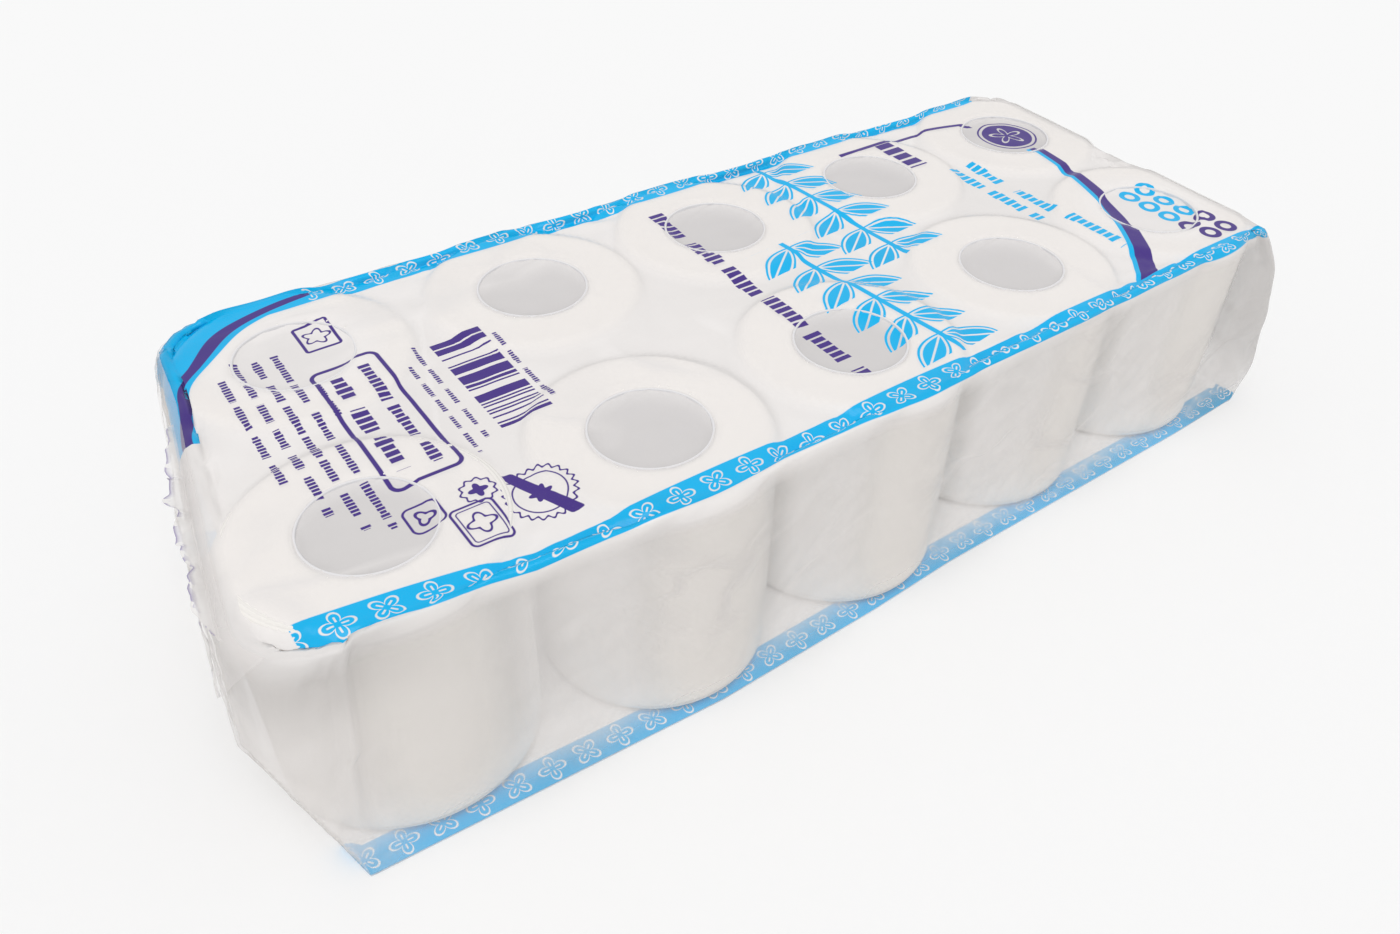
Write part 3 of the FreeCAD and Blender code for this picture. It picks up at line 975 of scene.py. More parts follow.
def creaseGroup():
    # creases of thin film, for the wrap and its flaps: sharp lines, a fine height and a slow cloud
    style = creaseStyle
    group, entry, leave = newGroup("filmCreases", {
        "Place": (0.0, 0.0, 0.0), "Crease Size": 15.0, "Fine Size": 110.0}, ["Height", "Lines", "Cloud"])
    bent = noiseNode(group, entry["Place"], style["bendSize"], 2.0)
    shifted = group.nodes.new("ShaderNodeVectorMath")
    shifted.operation = "MULTIPLY_ADD"
    group.links.new(bent, shifted.inputs[0])
    shifted.inputs[1].default_value = (style["bendReach"],) * 3
    group.links.new(entry["Place"], shifted.inputs[2])
    lines = None
    for way in style["ways"]:
        wave = group.nodes.new("ShaderNodeTexNoise")
        group.links.new(spread(group, shifted.outputs[0], *way), wave.inputs["Vector"])
        group.links.new(entry["Crease Size"], wave.inputs["Scale"])
        wave.inputs["Detail"].default_value = 3.0
        wave.inputs["Roughness"].default_value = 0.45
        crest = calc(group, "ABSOLUTE", minus(group, wave.outputs["Fac"], 0.5))
        crest = calc(group, "MULTIPLY_ADD", crest, style["sharpness"], 1.0, clamp=True)
        lines = crest if lines is None else calc(group, "MAXIMUM", lines, crest)
    cloud = noiseNode(group, entry["Place"], style["cloudSize"], 3.0)
    shown = times(group, lines, calc(group, "MULTIPLY_ADD", cloud, *style["cloudGain"], clamp=True))
    fine = group.nodes.new("ShaderNodeTexNoise")
    group.links.new(spread(group, entry["Place"], 1.0, 1.0, 0.5), fine.inputs["Vector"])
    group.links.new(entry["Fine Size"], fine.inputs["Scale"])
    fine.inputs["Detail"].default_value = 3.0
    coarse = times(group, shown, style["lineShare"])
    height = calc(group, "MULTIPLY_ADD", fine.outputs["Fac"], style["fineShare"], coarse)
    group.links.new(height, leave["Height"])
    group.links.new(shown, leave["Lines"])
    group.links.new(cloud, leave["Cloud"])
    return group


creases = creaseGroup()
boxMark = boxGroup()
ringMark = ringGroup()
barRow = barGroup()
leafSprig = sprigGroup()
flowerBand = bandGroup()

# places in mm on the flat print: the pack's middle line is y = 0
printLayout = {
    "nearBand": -89.0,
    "farBand": 89.5,
    "nearEnds": (-221.0, 226.0),
    "farEnds": (-216.0, 205.0),
    "baseEnds": (-242.0, 240.0),
    "bearStart": -150.0,                # from here the near stripe bears off towards the left end
    "bearSlope": 0.17,
    "bandHalf": 6.0,
    "bandDepth": 9.0,                   # how far the stripes reach over the top edge
    "flatDepth": 2.0,                   # and the marks of the flat top
    "baseBand": 86.6,
    "baseDepth": 5.0,
    "fieldDepth": 18.0,
    "fieldCentre": (-153.6, 21.2),      # far left corner field: outside this circle
    "fieldRadius": 64.5,
    "fieldWave": (0.21, 0.9),           # the circle's edge wavers: radians per mm, and mm
    "fieldSide": 2.0,                   # it ends this far to the left of the circle's centre
    "fieldNear": 22.0,
    "fieldTail": (-205.0, -0.34),       # from this x on it reaches less far over the edge, by this slope
    "fieldBand": 4.6,                   # the purple band's middle, out from that circle
    "fieldBandHalf": (1.1, 2.3),        # least and most, and how it changes along x
    "fieldBandSlope": (-0.033, -3.2),
    "arcCentre": (2.0, 48.0),           # right end arc, from the near stripe to the badge
    "arcRadius": 190.5,
    "arcStart": -84.0,
    "arcHalf": (-0.018, 2.3),           # half width: its change along y, and at y = 0
    "arcCyanHalf": 2.2,
    "thinHalf": 1.2,                    # its thin run past the badge: a line at y, bent down from an x on
    "thinEnds": (101.0, 184.0),
    "thinY": 71.5,
    "thinBend": (141.0, 0.0044),
    "badge": (192.0, 46.0),
    "badgeClear": 17.0,
}


def addInk(tree, ink, mask, colour):
    # the ink's colour, and how much of the film it covers, as marks are added
    ink["colour"] = blend(tree, mask, ink["colour"], colour)
    ink["cover"] = mask if ink["cover"] is None else calc(tree, "MAXIMUM", ink["cover"], mask)


def upTo(tree, value, limit):
    return softMask(tree, minus(tree, value, limit), 0.6)


def farFrom(tree, x, y, cx, cy):
    return lengthOf(tree, minus(tree, x, cx), minus(tree, y, cy))


def readWeb(tree, name):
    node = tree.nodes.new("ShaderNodeAttribute")
    node.attribute_name = name
    parts = tree.nodes.new("ShaderNodeSeparateXYZ")
    tree.links.new(node.outputs["Vector"], parts.inputs[0])
    return parts.outputs


def drawCorner(tree, ink, x, y, depth):
    # far left field, cyan; gives the mask of the purple band that runs round its inner side
    layout = printLayout
    cx, cy = layout["fieldCentre"]
    turn, height = layout["fieldWave"]
    tailStart, tailSlope = layout["fieldTail"]
    thin, thick = layout["fieldBandHalf"]
    distance = minus(tree, farFrom(tree, x, y, cx, cy), layout["fieldRadius"])
    waves = times(tree, calc(tree, "SINE", times(tree, y, turn)), height)
    distance = calc(tree, "ADD", distance, waves)
    beyond = calc(tree, "MAXIMUM", minus(tree, x, tailStart), 0.0)
    limit = calc(tree, "MULTIPLY_ADD", beyond, tailSlope, layout["fieldDepth"])
    leftOf = softMask(tree, minus(tree, x, cx - layout["fieldSide"]))
    place = times(tree, leftOf, softMask(tree, minus(tree, layout["fieldNear"], y)))
    place = times(tree, place, upTo(tree, depth, limit))
    addInk(tree, ink, times(tree, place, softMask(tree, times(tree, distance, -1.0))), inkCyan)
    wide = calc(tree, "MULTIPLY_ADD", x, *layout["fieldBandSlope"])
    wide = calc(tree, "MINIMUM", calc(tree, "MAXIMUM", wide, thin), thick)
    return times(tree, nearTo(tree, distance, layout["fieldBand"], wide), place)


def drawArc(tree, ink, x, y, depth):
    # purple arc with a cyan inner edge, wider towards the near side, and its thin run past the badge
    layout = printLayout
    badgeX, badgeY = layout["badge"]
    bendStart, bendShare = layout["thinBend"]
    clear = softMask(tree, minus(tree, layout["badgeClear"], farFrom(tree, x, y, badgeX, badgeY)))
    clear = times(tree, clear, upTo(tree, depth, layout["flatDepth"]))
    distance = minus(tree, farFrom(tree, x, y, *layout["arcCentre"]), layout["arcRadius"])
    near = times(tree, clear, within(tree, y, layout["arcStart"], badgeY))
    wide = calc(tree, "MULTIPLY_ADD", y, *layout["arcHalf"])
    purple = softMask(tree, minus(tree, calc(tree, "ABSOLUTE", distance), wide))
    inner = calc(tree, "ABSOLUTE", calc(tree, "ADD", distance, wide))
    cyan = softMask(tree, minus(tree, inner, layout["arcCyanHalf"]))
    addInk(tree, ink, times(tree, cyan, near), inkCyan)
    addInk(tree, ink, times(tree, purple, near), inkPurple)
    bend = calc(tree, "MAXIMUM", minus(tree, x, bendStart), 0.0)
    rise = calc(tree, "MULTIPLY_ADD", times(tree, bend, bend), bendShare, minus(tree, y, layout["thinY"]))
    thin = softMask(tree, minus(tree, calc(tree, "ABSOLUTE", rise), layout["thinHalf"]))
    thin = times(tree, thin, times(tree, clear, within(tree, x, *layout["thinEnds"])))
    addInk(tree, ink, thin, inkPurple)


def drawTopBands(tree, ink, web):
    layout = printLayout
    x, y, depth = web
    borne = calc(tree, "MAXIMUM", minus(tree, layout["bearStart"], x), 0.0)
    nearY = minus(tree, y, times(tree, borne, layout["bearSlope"]))
    for side, bandY in (("near", nearY), ("far", y)):
        start, end = layout[side + "Ends"]
        band = useGroup(tree, flowerBand, {
            "X": x, "Y": bandY, "Centre Y": layout[side + "Band"], "Half Width": layout["bandHalf"],
            "Start X": start, "End X": end})
        addInk(tree, ink, times(tree, band["Ink"], upTo(tree, depth, layout["bandDepth"])), inkCyan)


def drawBaseBands(tree, ink, base):
    # both stripes at once: the base is alike on both sides
    layout = printLayout
    x, y, depth = base
    start, end = layout["baseEnds"]
    band = useGroup(tree, flowerBand, {
        "X": x, "Y": calc(tree, "ABSOLUTE", y), "Centre Y": layout["baseBand"],
        "Half Width": layout["bandHalf"], "Start X": start, "End X": end})
    addInk(tree, ink, times(tree, band["Ink"], upTo(tree, depth, layout["baseDepth"])), inkCyan)


# blocks that stand where a pack carries its lines of text: row x, start y, end y, thickness, word, block
textRows = [
    (-7.0, 70.0, -70.0, 8.0, 27.0, 3.6), (127.0, 70.0, 32.0, 12.0, 38.0, 6.6),
    (-201.5, 50.0, -14.0, 3.0, 17.0, 1.7), (-194.5, 60.0, -34.0, 3.2, 15.0, 1.7),
    (-187.5, 58.0, -46.0, 3.2, 17.0, 1.7), (-180.5, 58.0, -50.0, 3.0, 21.0, 1.7),
    (-174.0, 30.0, 8.0, 2.4, 11.0, 1.4), (-167.5, 30.0, -28.0, 6.2, 19.0, 3.4),
    (-156.5, 33.0, -30.0, 4.6, 26.0, 2.6), (-108.0, 26.0, -20.0, 2.2, 12.0, 1.3),
    (-137.0, 34.0, -26.0, 2.0, 14.0, 1.3), (-142.5, 24.0, -32.0, 2.0, 11.0, 1.3),
]
cyanRows = [(139.0, 32.0, -24.0, 6.6, 25.0, 3.6), (150.0, 32.0, -62.0, 6.6, 31.0, 3.6)]

# leafy stems: direction, start x and y, length
sprigs = [(-1.50, 60.0, 84.0, 98.0), (-1.47, 24.0, 20.0, 100.0)]

# the flat top is shaded in three stretches along x, each with only its own marks
stretches = {"left": (-400.0, -96.0), "middle": (-96.0, 96.0), "right": (96.0, 400.0)}


def drawMarks(tree, ink, x, y, depth, stretch):
    flat = upTo(tree, depth, printLayout["flatDepth"])
    low, high = stretches[stretch]

    def mark(mask, colour):
        addInk(tree, ink, times(tree, mask, flat), colour)

    for direction, startX, startY, length in sprigs:
        if low < startX < high:
            sprig = useGroup(tree, leafSprig, {
                "X": x, "Y": y, "Start X": startX, "Start Y": startY, "Direction": direction,
                "Length": length, "Pitch": 16.5})
            mark(calc(tree, "MAXIMUM", sprig["Outline"], sprig["Fill"]), inkCyan)
    for rows, colour, step in ((textRows, inkPurple, 37.0), (cyanRows, inkCyan, 53.0)):
        for number, (rowX, startY, endY, thickness, pitch, block) in enumerate(rows):
            if low < rowX < high:
                bars = useGroup(tree, barRow, {
                    "X": x, "Y": y, "Row X": rowX, "Start Y": startY, "End Y": endY, "Thickness": thickness,
                    "Pitch": pitch, "Block": block, "Seed": number * step + 7.0})
                mark(bars["Mask"], colour)
    if stretch == "left":
        drawQualityMarks(tree, x, y, mark)
    if stretch == "right":
        drawArc(tree, ink, x, y, depth)
        drawBadge(tree, x, y, mark)


def useBox(tree, x, y, centre, half, corner, line=1.2):
    return useGroup(tree, boxMark, {
        "X": x, "Y": y, "Centre X": centre[0], "Centre Y": centre[1], "Half X": half[0], "Half Y": half[1],
        "Corner": corner, "Line": line})


def useRing(tree, x, y, centre, radius, lobes=0.0, lobeDepth=0.0, line=1.2):
    return useGroup(tree, ringMark, {
        "X": x, "Y": y, "Centre X": centre[0], "Centre Y": centre[1], "Radius": radius, "Lobes": lobes,
        "Lobe Depth": lobeDepth, "Line": line})


# line boxes: centre, half sizes, corner, line width
lineBoxes = [
    ((-162.0, 2.0), (13.0, 38.0), 4.0, 1.6), ((-171.0, -50.5), (6.0, 6.5), 3.0, 0.9),
    ((-158.0, -64.0), (7.5, 9.5), 2.5, 0.9), ((-158.0, -64.0), (5.8, 7.8), 1.5, 0.5),
    ((-163.0, 62.0), (7.0, 9.0), 1.5, 1.2),
]
# line rounds: centre, radius, lobes, their depth, line width
lineRings = [
    ((-136.0, -60.5), 12.0, 22.0, 0.7, 0.9), ((-136.0, -60.5), 9.2, 0.0, 0.0, 0.6),
    ((-152.5, -50.0), 5.8, 10.0, 0.5, 0.8), ((-171.0, -50.5), 3.2, 3.0, 0.8, 1.2),
    ((-158.0, -64.0), 4.2, 4.0, 1.0, 1.0), ((-163.0, 62.0), 4.6, 5.0, 1.0, 1.0),
]
filledRings = [((-136.0, -60.5), 3.4, 6.0, 0.8), ((-152.5, -50.0), 2.6, 4.0, 0.8)]


def drawQualityMarks(tree, x, y, mark):
    # uneven bars across a box, thick and thin
    uneven = calc(tree, "GREATER_THAN", cellDice(tree, times(tree, y, 1.15), 0.0), 0.42)
    bars = useBox(tree, x, y, (-121.0, 5.0), (10.0, 30.0), 0.2)
    mark(times(tree, bars["Fill"], uneven), inkPurple)
    for box in lineBoxes:
        mark(useBox(tree, x, y, *box)["Outline"], inkPurple)
    for ring in lineRings:
        mark(useRing(tree, x, y, *ring)["Outline"], inkPurple)
    for ring in filledRings:
        mark(useRing(tree, x, y, *ring)["Fill"], inkPurple)
    # ribbon across the scalloped ring
    slanted = calc(tree, "ADD", x, times(tree, y, 0.45))
    mark(useBox(tree, slanted, y, (-163.0, -60.5), (2.4, 13.5), 0.8)["Fill"], inkPurple)


def drawBadge(tree, x, y, mark):
    # a filled round with a bare flower in it, and a ring round both
    badge = printLayout["badge"]
    mark(useRing(tree, x, y, badge, 15.0, line=1.0)["Outline"], inkPurple)
    disc = useRing(tree, x, y, badge, 12.6)
    bloom = useRing(tree, x, y, badge, 6.0, 5.0, 3.2, 1.6)
    mark(times(tree, disc["Fill"], minus(tree, 1.0, bloom["Outline"])), inkPurple)
    # ten small rings, five by two, for the count
    for i in range(5):
        for j in range(2):
            ring = useRing(tree, x, y, (191.0 + 11.0 * j, -32.0 - 11.0 * i), 4.9, line=2.6)
            mark(ring["Outline"], inkCyan if i < 3 else inkPurple)


filmLook = {
    "bare": (0.895, 0.865, 0.850, 1.0),
    # how much the bare film hides: over roll ends, over gaps, on the sides, off them, and at the foot
    "milk": {"top": 0.72, "gaps": 0.90, "touching": 0.44, "free": 0.72, "foot": 0.19},
    "veiled": {"back_roll_1": 0.88, "front_roll_5": 0.93},      # cores that hardly show through creased film
    "veilReach": (2.0, 14.0),       # mm from the core where the veil begins to thin and where it ends
    "milkReach": (0.6, 9.0),        # mm from the rolls where the film begins to be free and is free
    "gapReach": (-5.0, 1.0),        # and over the gaps
    "topReach": (9.0, 1.0),         # mm below the rolls' tops where the top's milk begins and is full
    "footHeight": 24.0,
    "cloudMilk": 0.12,
    "creaseMilk": 0.26,
    # painted shade: how much darker the colour is drawn along the crease lines
    "creasePaintedShade": 0.10,
    "endPaintedShade": 0.2,                # painted shade: how much darker the film's colour is drawn on the pack's ends
    "endHeights": (64.0, 90.0),     # where the left end's painted shade begins and is full
    "edgeDepth": 7.0,               # mm over the top edge within which the painted shade sets in
    "inkHide": 0.99,                # how much the ink hides
    "edgeInk": (0.20, 0.15, 0.38, 1.0),     # on the cut edges
    "edgeHide": 0.85,
    "edgeBroken": 0.46,
    "roughness": 0.22,
    "bump": 0.0012,                 # metres
}


def filmMaterial(name, printed):
    # printed is a stretch of the top, "edge" for the sides, "base" for the bottom, or "" for a bare flap
    look = filmLook
    material, tree, shader = newMaterial(name, {
        "Roughness": look["roughness"], "Specular IOR Level": 0.3, "IOR": 1.5})
    marks = useGroup(tree, creases, {"Place": objectPlace(tree)})
    milk = readWeb(tree, "milk")
    evenMilk = minus(tree, milk[0], look["cloudMilk"] / 2)
    haze = calc(tree, "MULTIPLY_ADD", marks["Cloud"], look["cloudMilk"], evenMilk)
    clear = calc(tree, "MULTIPLY_ADD", marks["Lines"], look["creaseMilk"], haze, clamp=True)
    ink = {"colour": look["bare"], "cover": None}
    if printed in ("left", "middle", "right", "edge"):
        web = tuple(readWeb(tree, "web"))
        if printed in ("left", "edge"):
            cornerBand = drawCorner(tree, ink, *web)
        if printed != "edge":
            drawMarks(tree, ink, *web, printed)
        drawTopBands(tree, ink, web)
        if printed in ("left", "edge"):
            addInk(tree, ink, cornerBand, inkPurple)
    if printed in ("edge", "base"):
        drawBaseBands(tree, ink, tuple(readWeb(tree, "underside")))
    if printed:
        colour = ink["colour"]
        alpha = calc(tree, "MULTIPLY_ADD", ink["cover"], minus(tree, look["inkHide"], clear), clear)
    else:
        # a broken line of ink along a flap's cut edge
        speckle = noiseNode(tree, objectPlace(tree), 260.0, 2.0)
        broken = calc(tree, "GREATER_THAN", speckle, look["edgeBroken"])
        edge = times(tree, milk[1], broken)
        colour = blend(tree, edge, look["bare"], look["edgeInk"])
        alpha = calc(tree, "MAXIMUM", clear, times(tree, edge, look["edgeHide"]))
    # painted shade: the colour is drawn darker along the crease lines, and on the pack's ends by the milk
    # attribute's third channel
    shade = calc(tree, "MULTIPLY_ADD", marks["Lines"], -look["creasePaintedShade"], milk[2])
    darker = tree.nodes.new("ShaderNodeVectorMath")
    darker.operation = "SCALE"
    join(tree, colour, darker.inputs[0])
    tree.links.new(shade, darker.inputs["Scale"])
    tree.links.new(darker.outputs[0], shader.inputs["Base Color"])
    tree.links.new(alpha, shader.inputs["Alpha"])
    addBump(tree, shader, marks["Height"], 0.45, look["bump"])
    return material


def milkOf(points):
    # how milky the film is: clearer where it lies on a roll's side and at the foot
    look = filmLook
    share = look["milk"]
    radial = np.linalg.norm(points[:, None, :2] - rollPlaces[None], axis=2).min(axis=1) - rollRadius
    free = smoothStep(radial, *look["milkReach"])
    milk = share["touching"] + (share["free"] - share["touching"]) * free
    foot = 1 - smoothStep(points[:, 2], 0.0, look["footHeight"])
    milk += (share["foot"] - milk) * foot
    topStart, topFull = look["topReach"]
    top = smoothStep(points[:, 2], rollTop - topStart, rollTop - topFull)
    over = share["top"] + (share["gaps"] - share["top"]) * smoothStep(radial, *look["gapReach"])
    veilThins, veilEnds = look["veilReach"]
    for name, veil in look["veiled"].items():
        away = np.linalg.norm(points[:, :2] - axisOf(name), axis=1)
        over += (veil - over) * (1 - smoothStep(away, coreRadius + veilThins, coreRadius + veilEnds))
    return milk + (over - milk) * top


def paintedEndShade(points, depth):
    # painted shade: 1 on the top and the long sides, darker down the ends; the left end is pale again further
    # down
    left = smoothStep(rollPlaces[0, 0] + 20.0 - points[:, 0], 0.0, 45.0)
    left = left * smoothStep(points[:, 2], *filmLook["endHeights"])
    right = smoothStep(points[:, 0] - rollPlaces[4, 0] + 5.0, 0.0, 40.0)
    edge = smoothStep(depth, 0.0, filmLook["edgeDepth"])
    return 1 - filmLook["endPaintedShade"] * np.maximum(left, right) * edge


def paintFilm(piece, film):
    # each stretch of the film gets the material with its own marks; what is neither is side or base
    faces = film["faces"]
    depth = film["web"][faces, 2].max(axis=1)
    along = film["web"][faces, 0].mean(axis=1)
    up = film["base"][faces, 2].max(axis=1)
    names = list(stretches) + ["edge", "base"]
    number = np.full(len(faces), names.index("edge"))
    number[up < 0.5] = names.index("base")
    for i, (low, high) in enumerate(stretches.values()):
        number[(depth < 3.0) & (along >= low) & (along < high)] = i
    for name in names[1:]:
        piece.data.materials.append(filmMaterial(name + "Film", name))
    piece.data.polygons.foreach_set("material_index", number.astype(np.int32))


film = layFilm()
print("film laid", len(film["points"]), "points")
settled = settleFilm(film)
wrap = addPiece("film_sheet", settled, film["faces"], filmMaterial("leftFilm", "left"),
                ["film_wrap"])
addAttribute(wrap, "web", film["web"])
addAttribute(wrap, "underside", film["base"])
milk = milkOf(settled)
# milk attribute: the haze twice, then the painted shade on the pack's ends
addAttribute(wrap, "milk", np.stack([milk, milk, paintedEndShade(settled, film["web"][:, 2])], axis=1))
paintFilm(wrap, film)
wrap.visible_shadow = False
print("film settled")


# Flaps: the film's folded ends, laid on the wrap's ends

flapStyle = {
    "across": 64,
    "down": 34,
    "depth": 58.0,          # mm from fold to tip
    "slope": 50.0,          # degrees
    "lift": {"lower": 0.7, "upper": 1.5},
    "inset": 3.0,           # mm from the end's upright edges at the fold
    "drop": 4.0,            # mm from the top edge or the foot to the fold
    "ragged": 2.6,
    "ragLengths": (4.0, 22.0),
    "waveLengths": (9.0, 40.0),
    "edgeLine": (0.955, 0.985),     # shares of the depth where the cut edge's ink begins and is full
    "milk": 0.30,
    # painted shade: the flaps' colour is drawn this much darker
    "tone": 0.94,
}


def endGrid(side):
    # the settled film of one end: columns along the end, rows from the top edge to the foot, the way
    # out at each point, and how far down each row lies at mid end
    along, across = film["counts"]
    first = along if side == "right" else 2 * along + across
    columns = (first + np.arange(across + 1)) % film["belt"].shape[1]
    grid = settled[film["belt"][:, columns]]
    outward = film["outward"][columns]
    level = np.zeros((len(outward), 1))
    way = np.broadcast_to(np.concatenate([outward, level], axis=1), grid.shape)
    steps = np.linalg.norm(np.diff(grid[:, across // 2], axis=0), axis=1)
    return grid, way, np.concatenate([[0.0], np.cumsum(steps)])


def sampleGrid(grid, rows, columns):
    # places between a grid's points
    r = np.clip(rows, 0, grid.shape[0] - 1.001)
    c = np.clip(columns, 0, grid.shape[1] - 1.001)
    r0, c0 = r.astype(int), c.astype(int)
    fr, fc = (r - r0)[..., None], (c - c0)[..., None]
    upper = grid[r0, c0] * (1 - fc) + grid[r0, c0 + 1] * fc
    lower = grid[r0 + 1, c0] * (1 - fc) + grid[r0 + 1, c0 + 1] * fc
    return upper * (1 - fr) + lower * fr


def addFlap(side, kind, material, seed):
    # a tapered flap, folded up from the foot or down from the top edge
    style = flapStyle
    grid, way, down = endGrid(side)
    width = np.linalg.norm(np.diff(grid[0], axis=0), axis=1).sum()
    s = np.linspace(-1.0, 1.0, style["across"] + 1)[:, None]
    t = np.linspace(0.0, 1.0, style["down"] + 1)[None, :]
    shape = (s.size, t.size)
    taper = style["depth"] * t / math.tan(math.radians(style["slope"]))
    half = width / 2 - style["inset"] - taper
    edge = np.stack([np.broadcast_to(s * 90.0, shape), np.full(shape, seed * 31.0), np.zeros(shape)], axis=-1)
    ragged = softNoise(edge.reshape(-1, 3), seed, *style["ragLengths"]).reshape(shape) * style["ragged"]
    depth = style["drop"] + (style["depth"] + ragged) * t
    depth = depth if kind == "upper" else down[-1] - depth
    rows = np.interp(depth, down, np.arange(len(down)))
    columns = (grid.shape[1] - 1) * (0.5 + s * half / width)
    points = sampleGrid(grid, rows, columns)
    wave = softNoise(points.reshape(-1, 3), seed + 50, *style["waveLengths"]).reshape(shape)
    lift = style["lift"][kind] * (0.5 + t * 0.7) + np.maximum((wave + 1.2) * 0.5, 0.0) * t * 1.3
    points = points + sampleGrid(way, rows, columns) * lift[..., None]
    faces = gridFaces(np.arange(s.size * t.size).reshape(shape))
    name = f"film_flap_{side}_{kind}"
    piece = addPiece(name, points.reshape(-1, 3), faces, material, ["film_wrap"])
    inked = smoothStep(t + np.zeros_like(s), *style["edgeLine"])
    inked = inked * (1.0 if side == "left" and kind == "upper" else 0.0)
    # haze, the cut edge's ink, and the painted shade
    milk = np.stack([np.full(shape, style["milk"]), inked, np.full(shape, style["tone"])], axis=-1)
    addAttribute(piece, "milk", milk.reshape(-1, 3))
    piece.visible_shadow = False


seamStyle = {
    "from": 0.30,           # share of the left end's width, from the back
    "to": 0.86,
    "drop": 9.0,            # mm below the top edge
    "reach": 5.0,
    "across": 90,
    "ruffles": (7.0, 24.0),     # lengths of its waves and of its uneven edge
    "rags": (5.0, 16.0),
    "milk": 0.5,
    # painted shade: the seam's colour is drawn this much darker
    "tone": 0.9,
    "edgeLine": (0.72, 0.9),
}


def addSeam(material):
    # the cut edge of the web, a ruffled strip that stands off the left end under its top edge
    style = seamStyle
    grid, way, down = endGrid("left")
    s = np.linspace(style["from"], style["to"], style["across"] + 1)[:, None]
    t = np.linspace(0.0, 1.0, 6)[None, :]
    shape = (s.size, t.size)
    columns = s * (grid.shape[1] - 1) + 0 * t
    rows = np.full(shape, np.interp(style["drop"], down, np.arange(len(down))))
    points = sampleGrid(grid, rows, columns)
    flat = points.reshape(-1, 3)
    ruffle = softNoise(flat, 91, *style["ruffles"]).reshape(shape)
    ragged = softNoise(flat, 92, *style["rags"]).reshape(shape)
    fade = np.sin(np.linspace(0.0, math.pi, len(s)))[:, None] ** 0.4
    lift = (0.2 + t * (style["reach"] + 1.3 * ragged)) * fade
    points = points + sampleGrid(way, rows, columns) * lift[..., None]
    points[..., 2] += t * (1.5 + 2.2 * ruffle) * fade
    faces = gridFaces(np.arange(s.size * t.size).reshape(shape))
    piece = addPiece("film_seam", points.reshape(-1, 3), faces, material, ["film_wrap"])
    inked = smoothStep(t + 0 * s, *style["edgeLine"])
    # haze, the cut edge's ink, and the painted shade
    milk = np.stack([np.full(shape, style["milk"]), inked, np.full(shape, style["tone"])], axis=-1)
    addAttribute(piece, "milk", milk.reshape(-1, 3))
    piece.visible_shadow = False


clearFilm = filmMaterial("flapFilm", "")
addSeam(clearFilm)
flapSeed = 71
for side in ("left", "right"):
    for kind in ("lower", "upper"):
        addFlap(side, kind, clearFilm, flapSeed)
        flapSeed += 1
print("flaps laid")


# Camera, floor and light

shot = {
    "eye": (-249.1, -298.5, 335.5),     # mm, from the print's origin
    "azimuth": -36.73,
    "elevation": 40.62,
    "roll": 2.0,
    "lens": 28.48,
    "imageWidth": 1400.0,
    "centreShift": (5.6, -4.0),         # pixels
}


def addCamera():
    turn = math.radians(shot["azimuth"])
    tilt = math.radians(shot["elevation"])
    lean = math.radians(shot["roll"])
    ahead = np.array([-math.sin(turn) * math.cos(tilt), math.cos(turn) * math.cos(tilt), -math.sin(tilt)])
    right = np.array([math.cos(turn), math.sin(turn), 0.0])
    up = np.cross(right, ahead)
    leanRight = math.cos(lean) * right + math.sin(lean) * up
    leanUp = -math.sin(lean) * right + math.cos(lean) * up
    data = bpy.data.cameras.new("camera")
    data.sensor_width = 36.0
    data.lens = shot["lens"]
    data.shift_x = -shot["centreShift"][0] / shot["imageWidth"]
    data.shift_y = shot["centreShift"][1] / shot["imageWidth"]
    data.clip_start = 0.01
    data.clip_end = 50.0
    camera = bpy.data.objects.new("camera", data)
    scene.collection.objects.link(camera)
    matrix = Matrix.Identity(4)
    for row in range(3):
        matrix[row][0] = leanRight[row]
        matrix[row][1] = leanUp[row]
        matrix[row][2] = -ahead[row]
        matrix[row][3] = (shot["eye"][row] + (printOrigin[0] if row == 0 else 0.0)) * mm
    camera.matrix_world = matrix
    scene.camera = camera


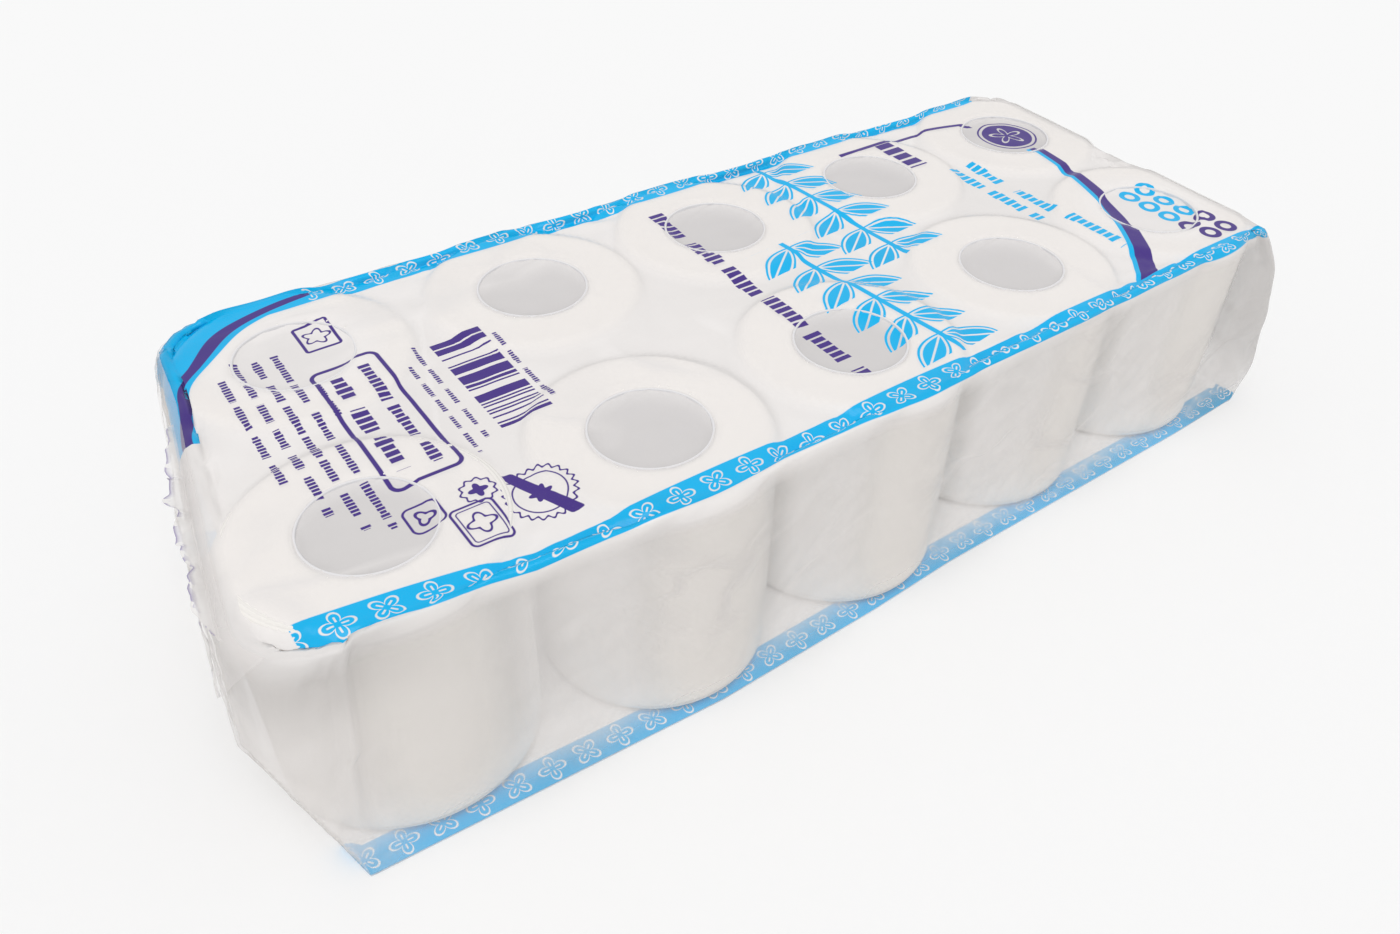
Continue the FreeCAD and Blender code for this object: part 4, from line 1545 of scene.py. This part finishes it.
studio = {
    "floorColour": (0.93, 0.93, 0.93, 1.0),
    "floorBounce": (0.83, 0.82, 0.81, 1.0),     # what the floor throws back on the pack
    "floorHalf": 6.0,
    "floorDepth": -0.0002,
    "shown": (0.965, 0.965, 0.965, 1.0),
    "skyStrength": 0.64,
    "sunStrength": 1.25,
    "sunAngle": 50.0,
    "sunTilt": (14.0, -12.0, 0.0),
}


def addStudio():
    half = studio["floorHalf"]
    mesh = bpy.data.meshes.new("floor")
    z = studio["floorDepth"]
    corners = [(-half, -half, z), (half, -half, z), (half, half, z), (-half, half, z)]
    mesh.from_pydata(corners, [], [(0, 1, 2, 3)])
    floor = bpy.data.objects.new("floor", mesh)
    scene.collection.objects.link(floor)
    material, tree, shader = newMaterial("paleFloor", {
        "Base Color": studio["floorColour"], "Roughness": 0.9, "Specular IOR Level": 0.0})
    path = tree.nodes.new("ShaderNodeLightPath")
    tree.links.new(blend(tree, path.outputs["Is Camera Ray"], studio["floorBounce"], studio["floorColour"]),
                   shader.inputs["Base Color"])
    mesh.materials.append(material)
    world = bpy.data.worlds.new("studio")
    scene.world = world
    world.use_nodes = True
    tree = world.node_tree
    light = tree.nodes["Background"]
    light.inputs["Color"].default_value = (1.0, 1.0, 1.0, 1.0)
    light.inputs["Strength"].default_value = studio["skyStrength"]
    shown = tree.nodes.new("ShaderNodeBackground")
    shown.inputs["Color"].default_value = studio["shown"]
    path = tree.nodes.new("ShaderNodeLightPath")
    seen = calc(tree, "MAXIMUM", path.outputs["Is Camera Ray"], path.outputs["Is Transmission Ray"])
    mix = tree.nodes.new("ShaderNodeMixShader")
    tree.links.new(seen, mix.inputs[0])
    tree.links.new(light.outputs[0], mix.inputs[1])
    tree.links.new(shown.outputs[0], mix.inputs[2])
    tree.links.new(mix.outputs[0], tree.nodes["World Output"].inputs["Surface"])
    data = bpy.data.lights.new("softSun", "SUN")
    data.energy = studio["sunStrength"]
    data.angle = math.radians(studio["sunAngle"])
    sun = bpy.data.objects.new("softSun", data)
    sun.rotation_euler = [math.radians(a) for a in studio["sunTilt"]]
    scene.collection.objects.link(sun)


addCamera()
addStudio()
scene.view_settings.view_transform = "Standard"
print("studio ready")
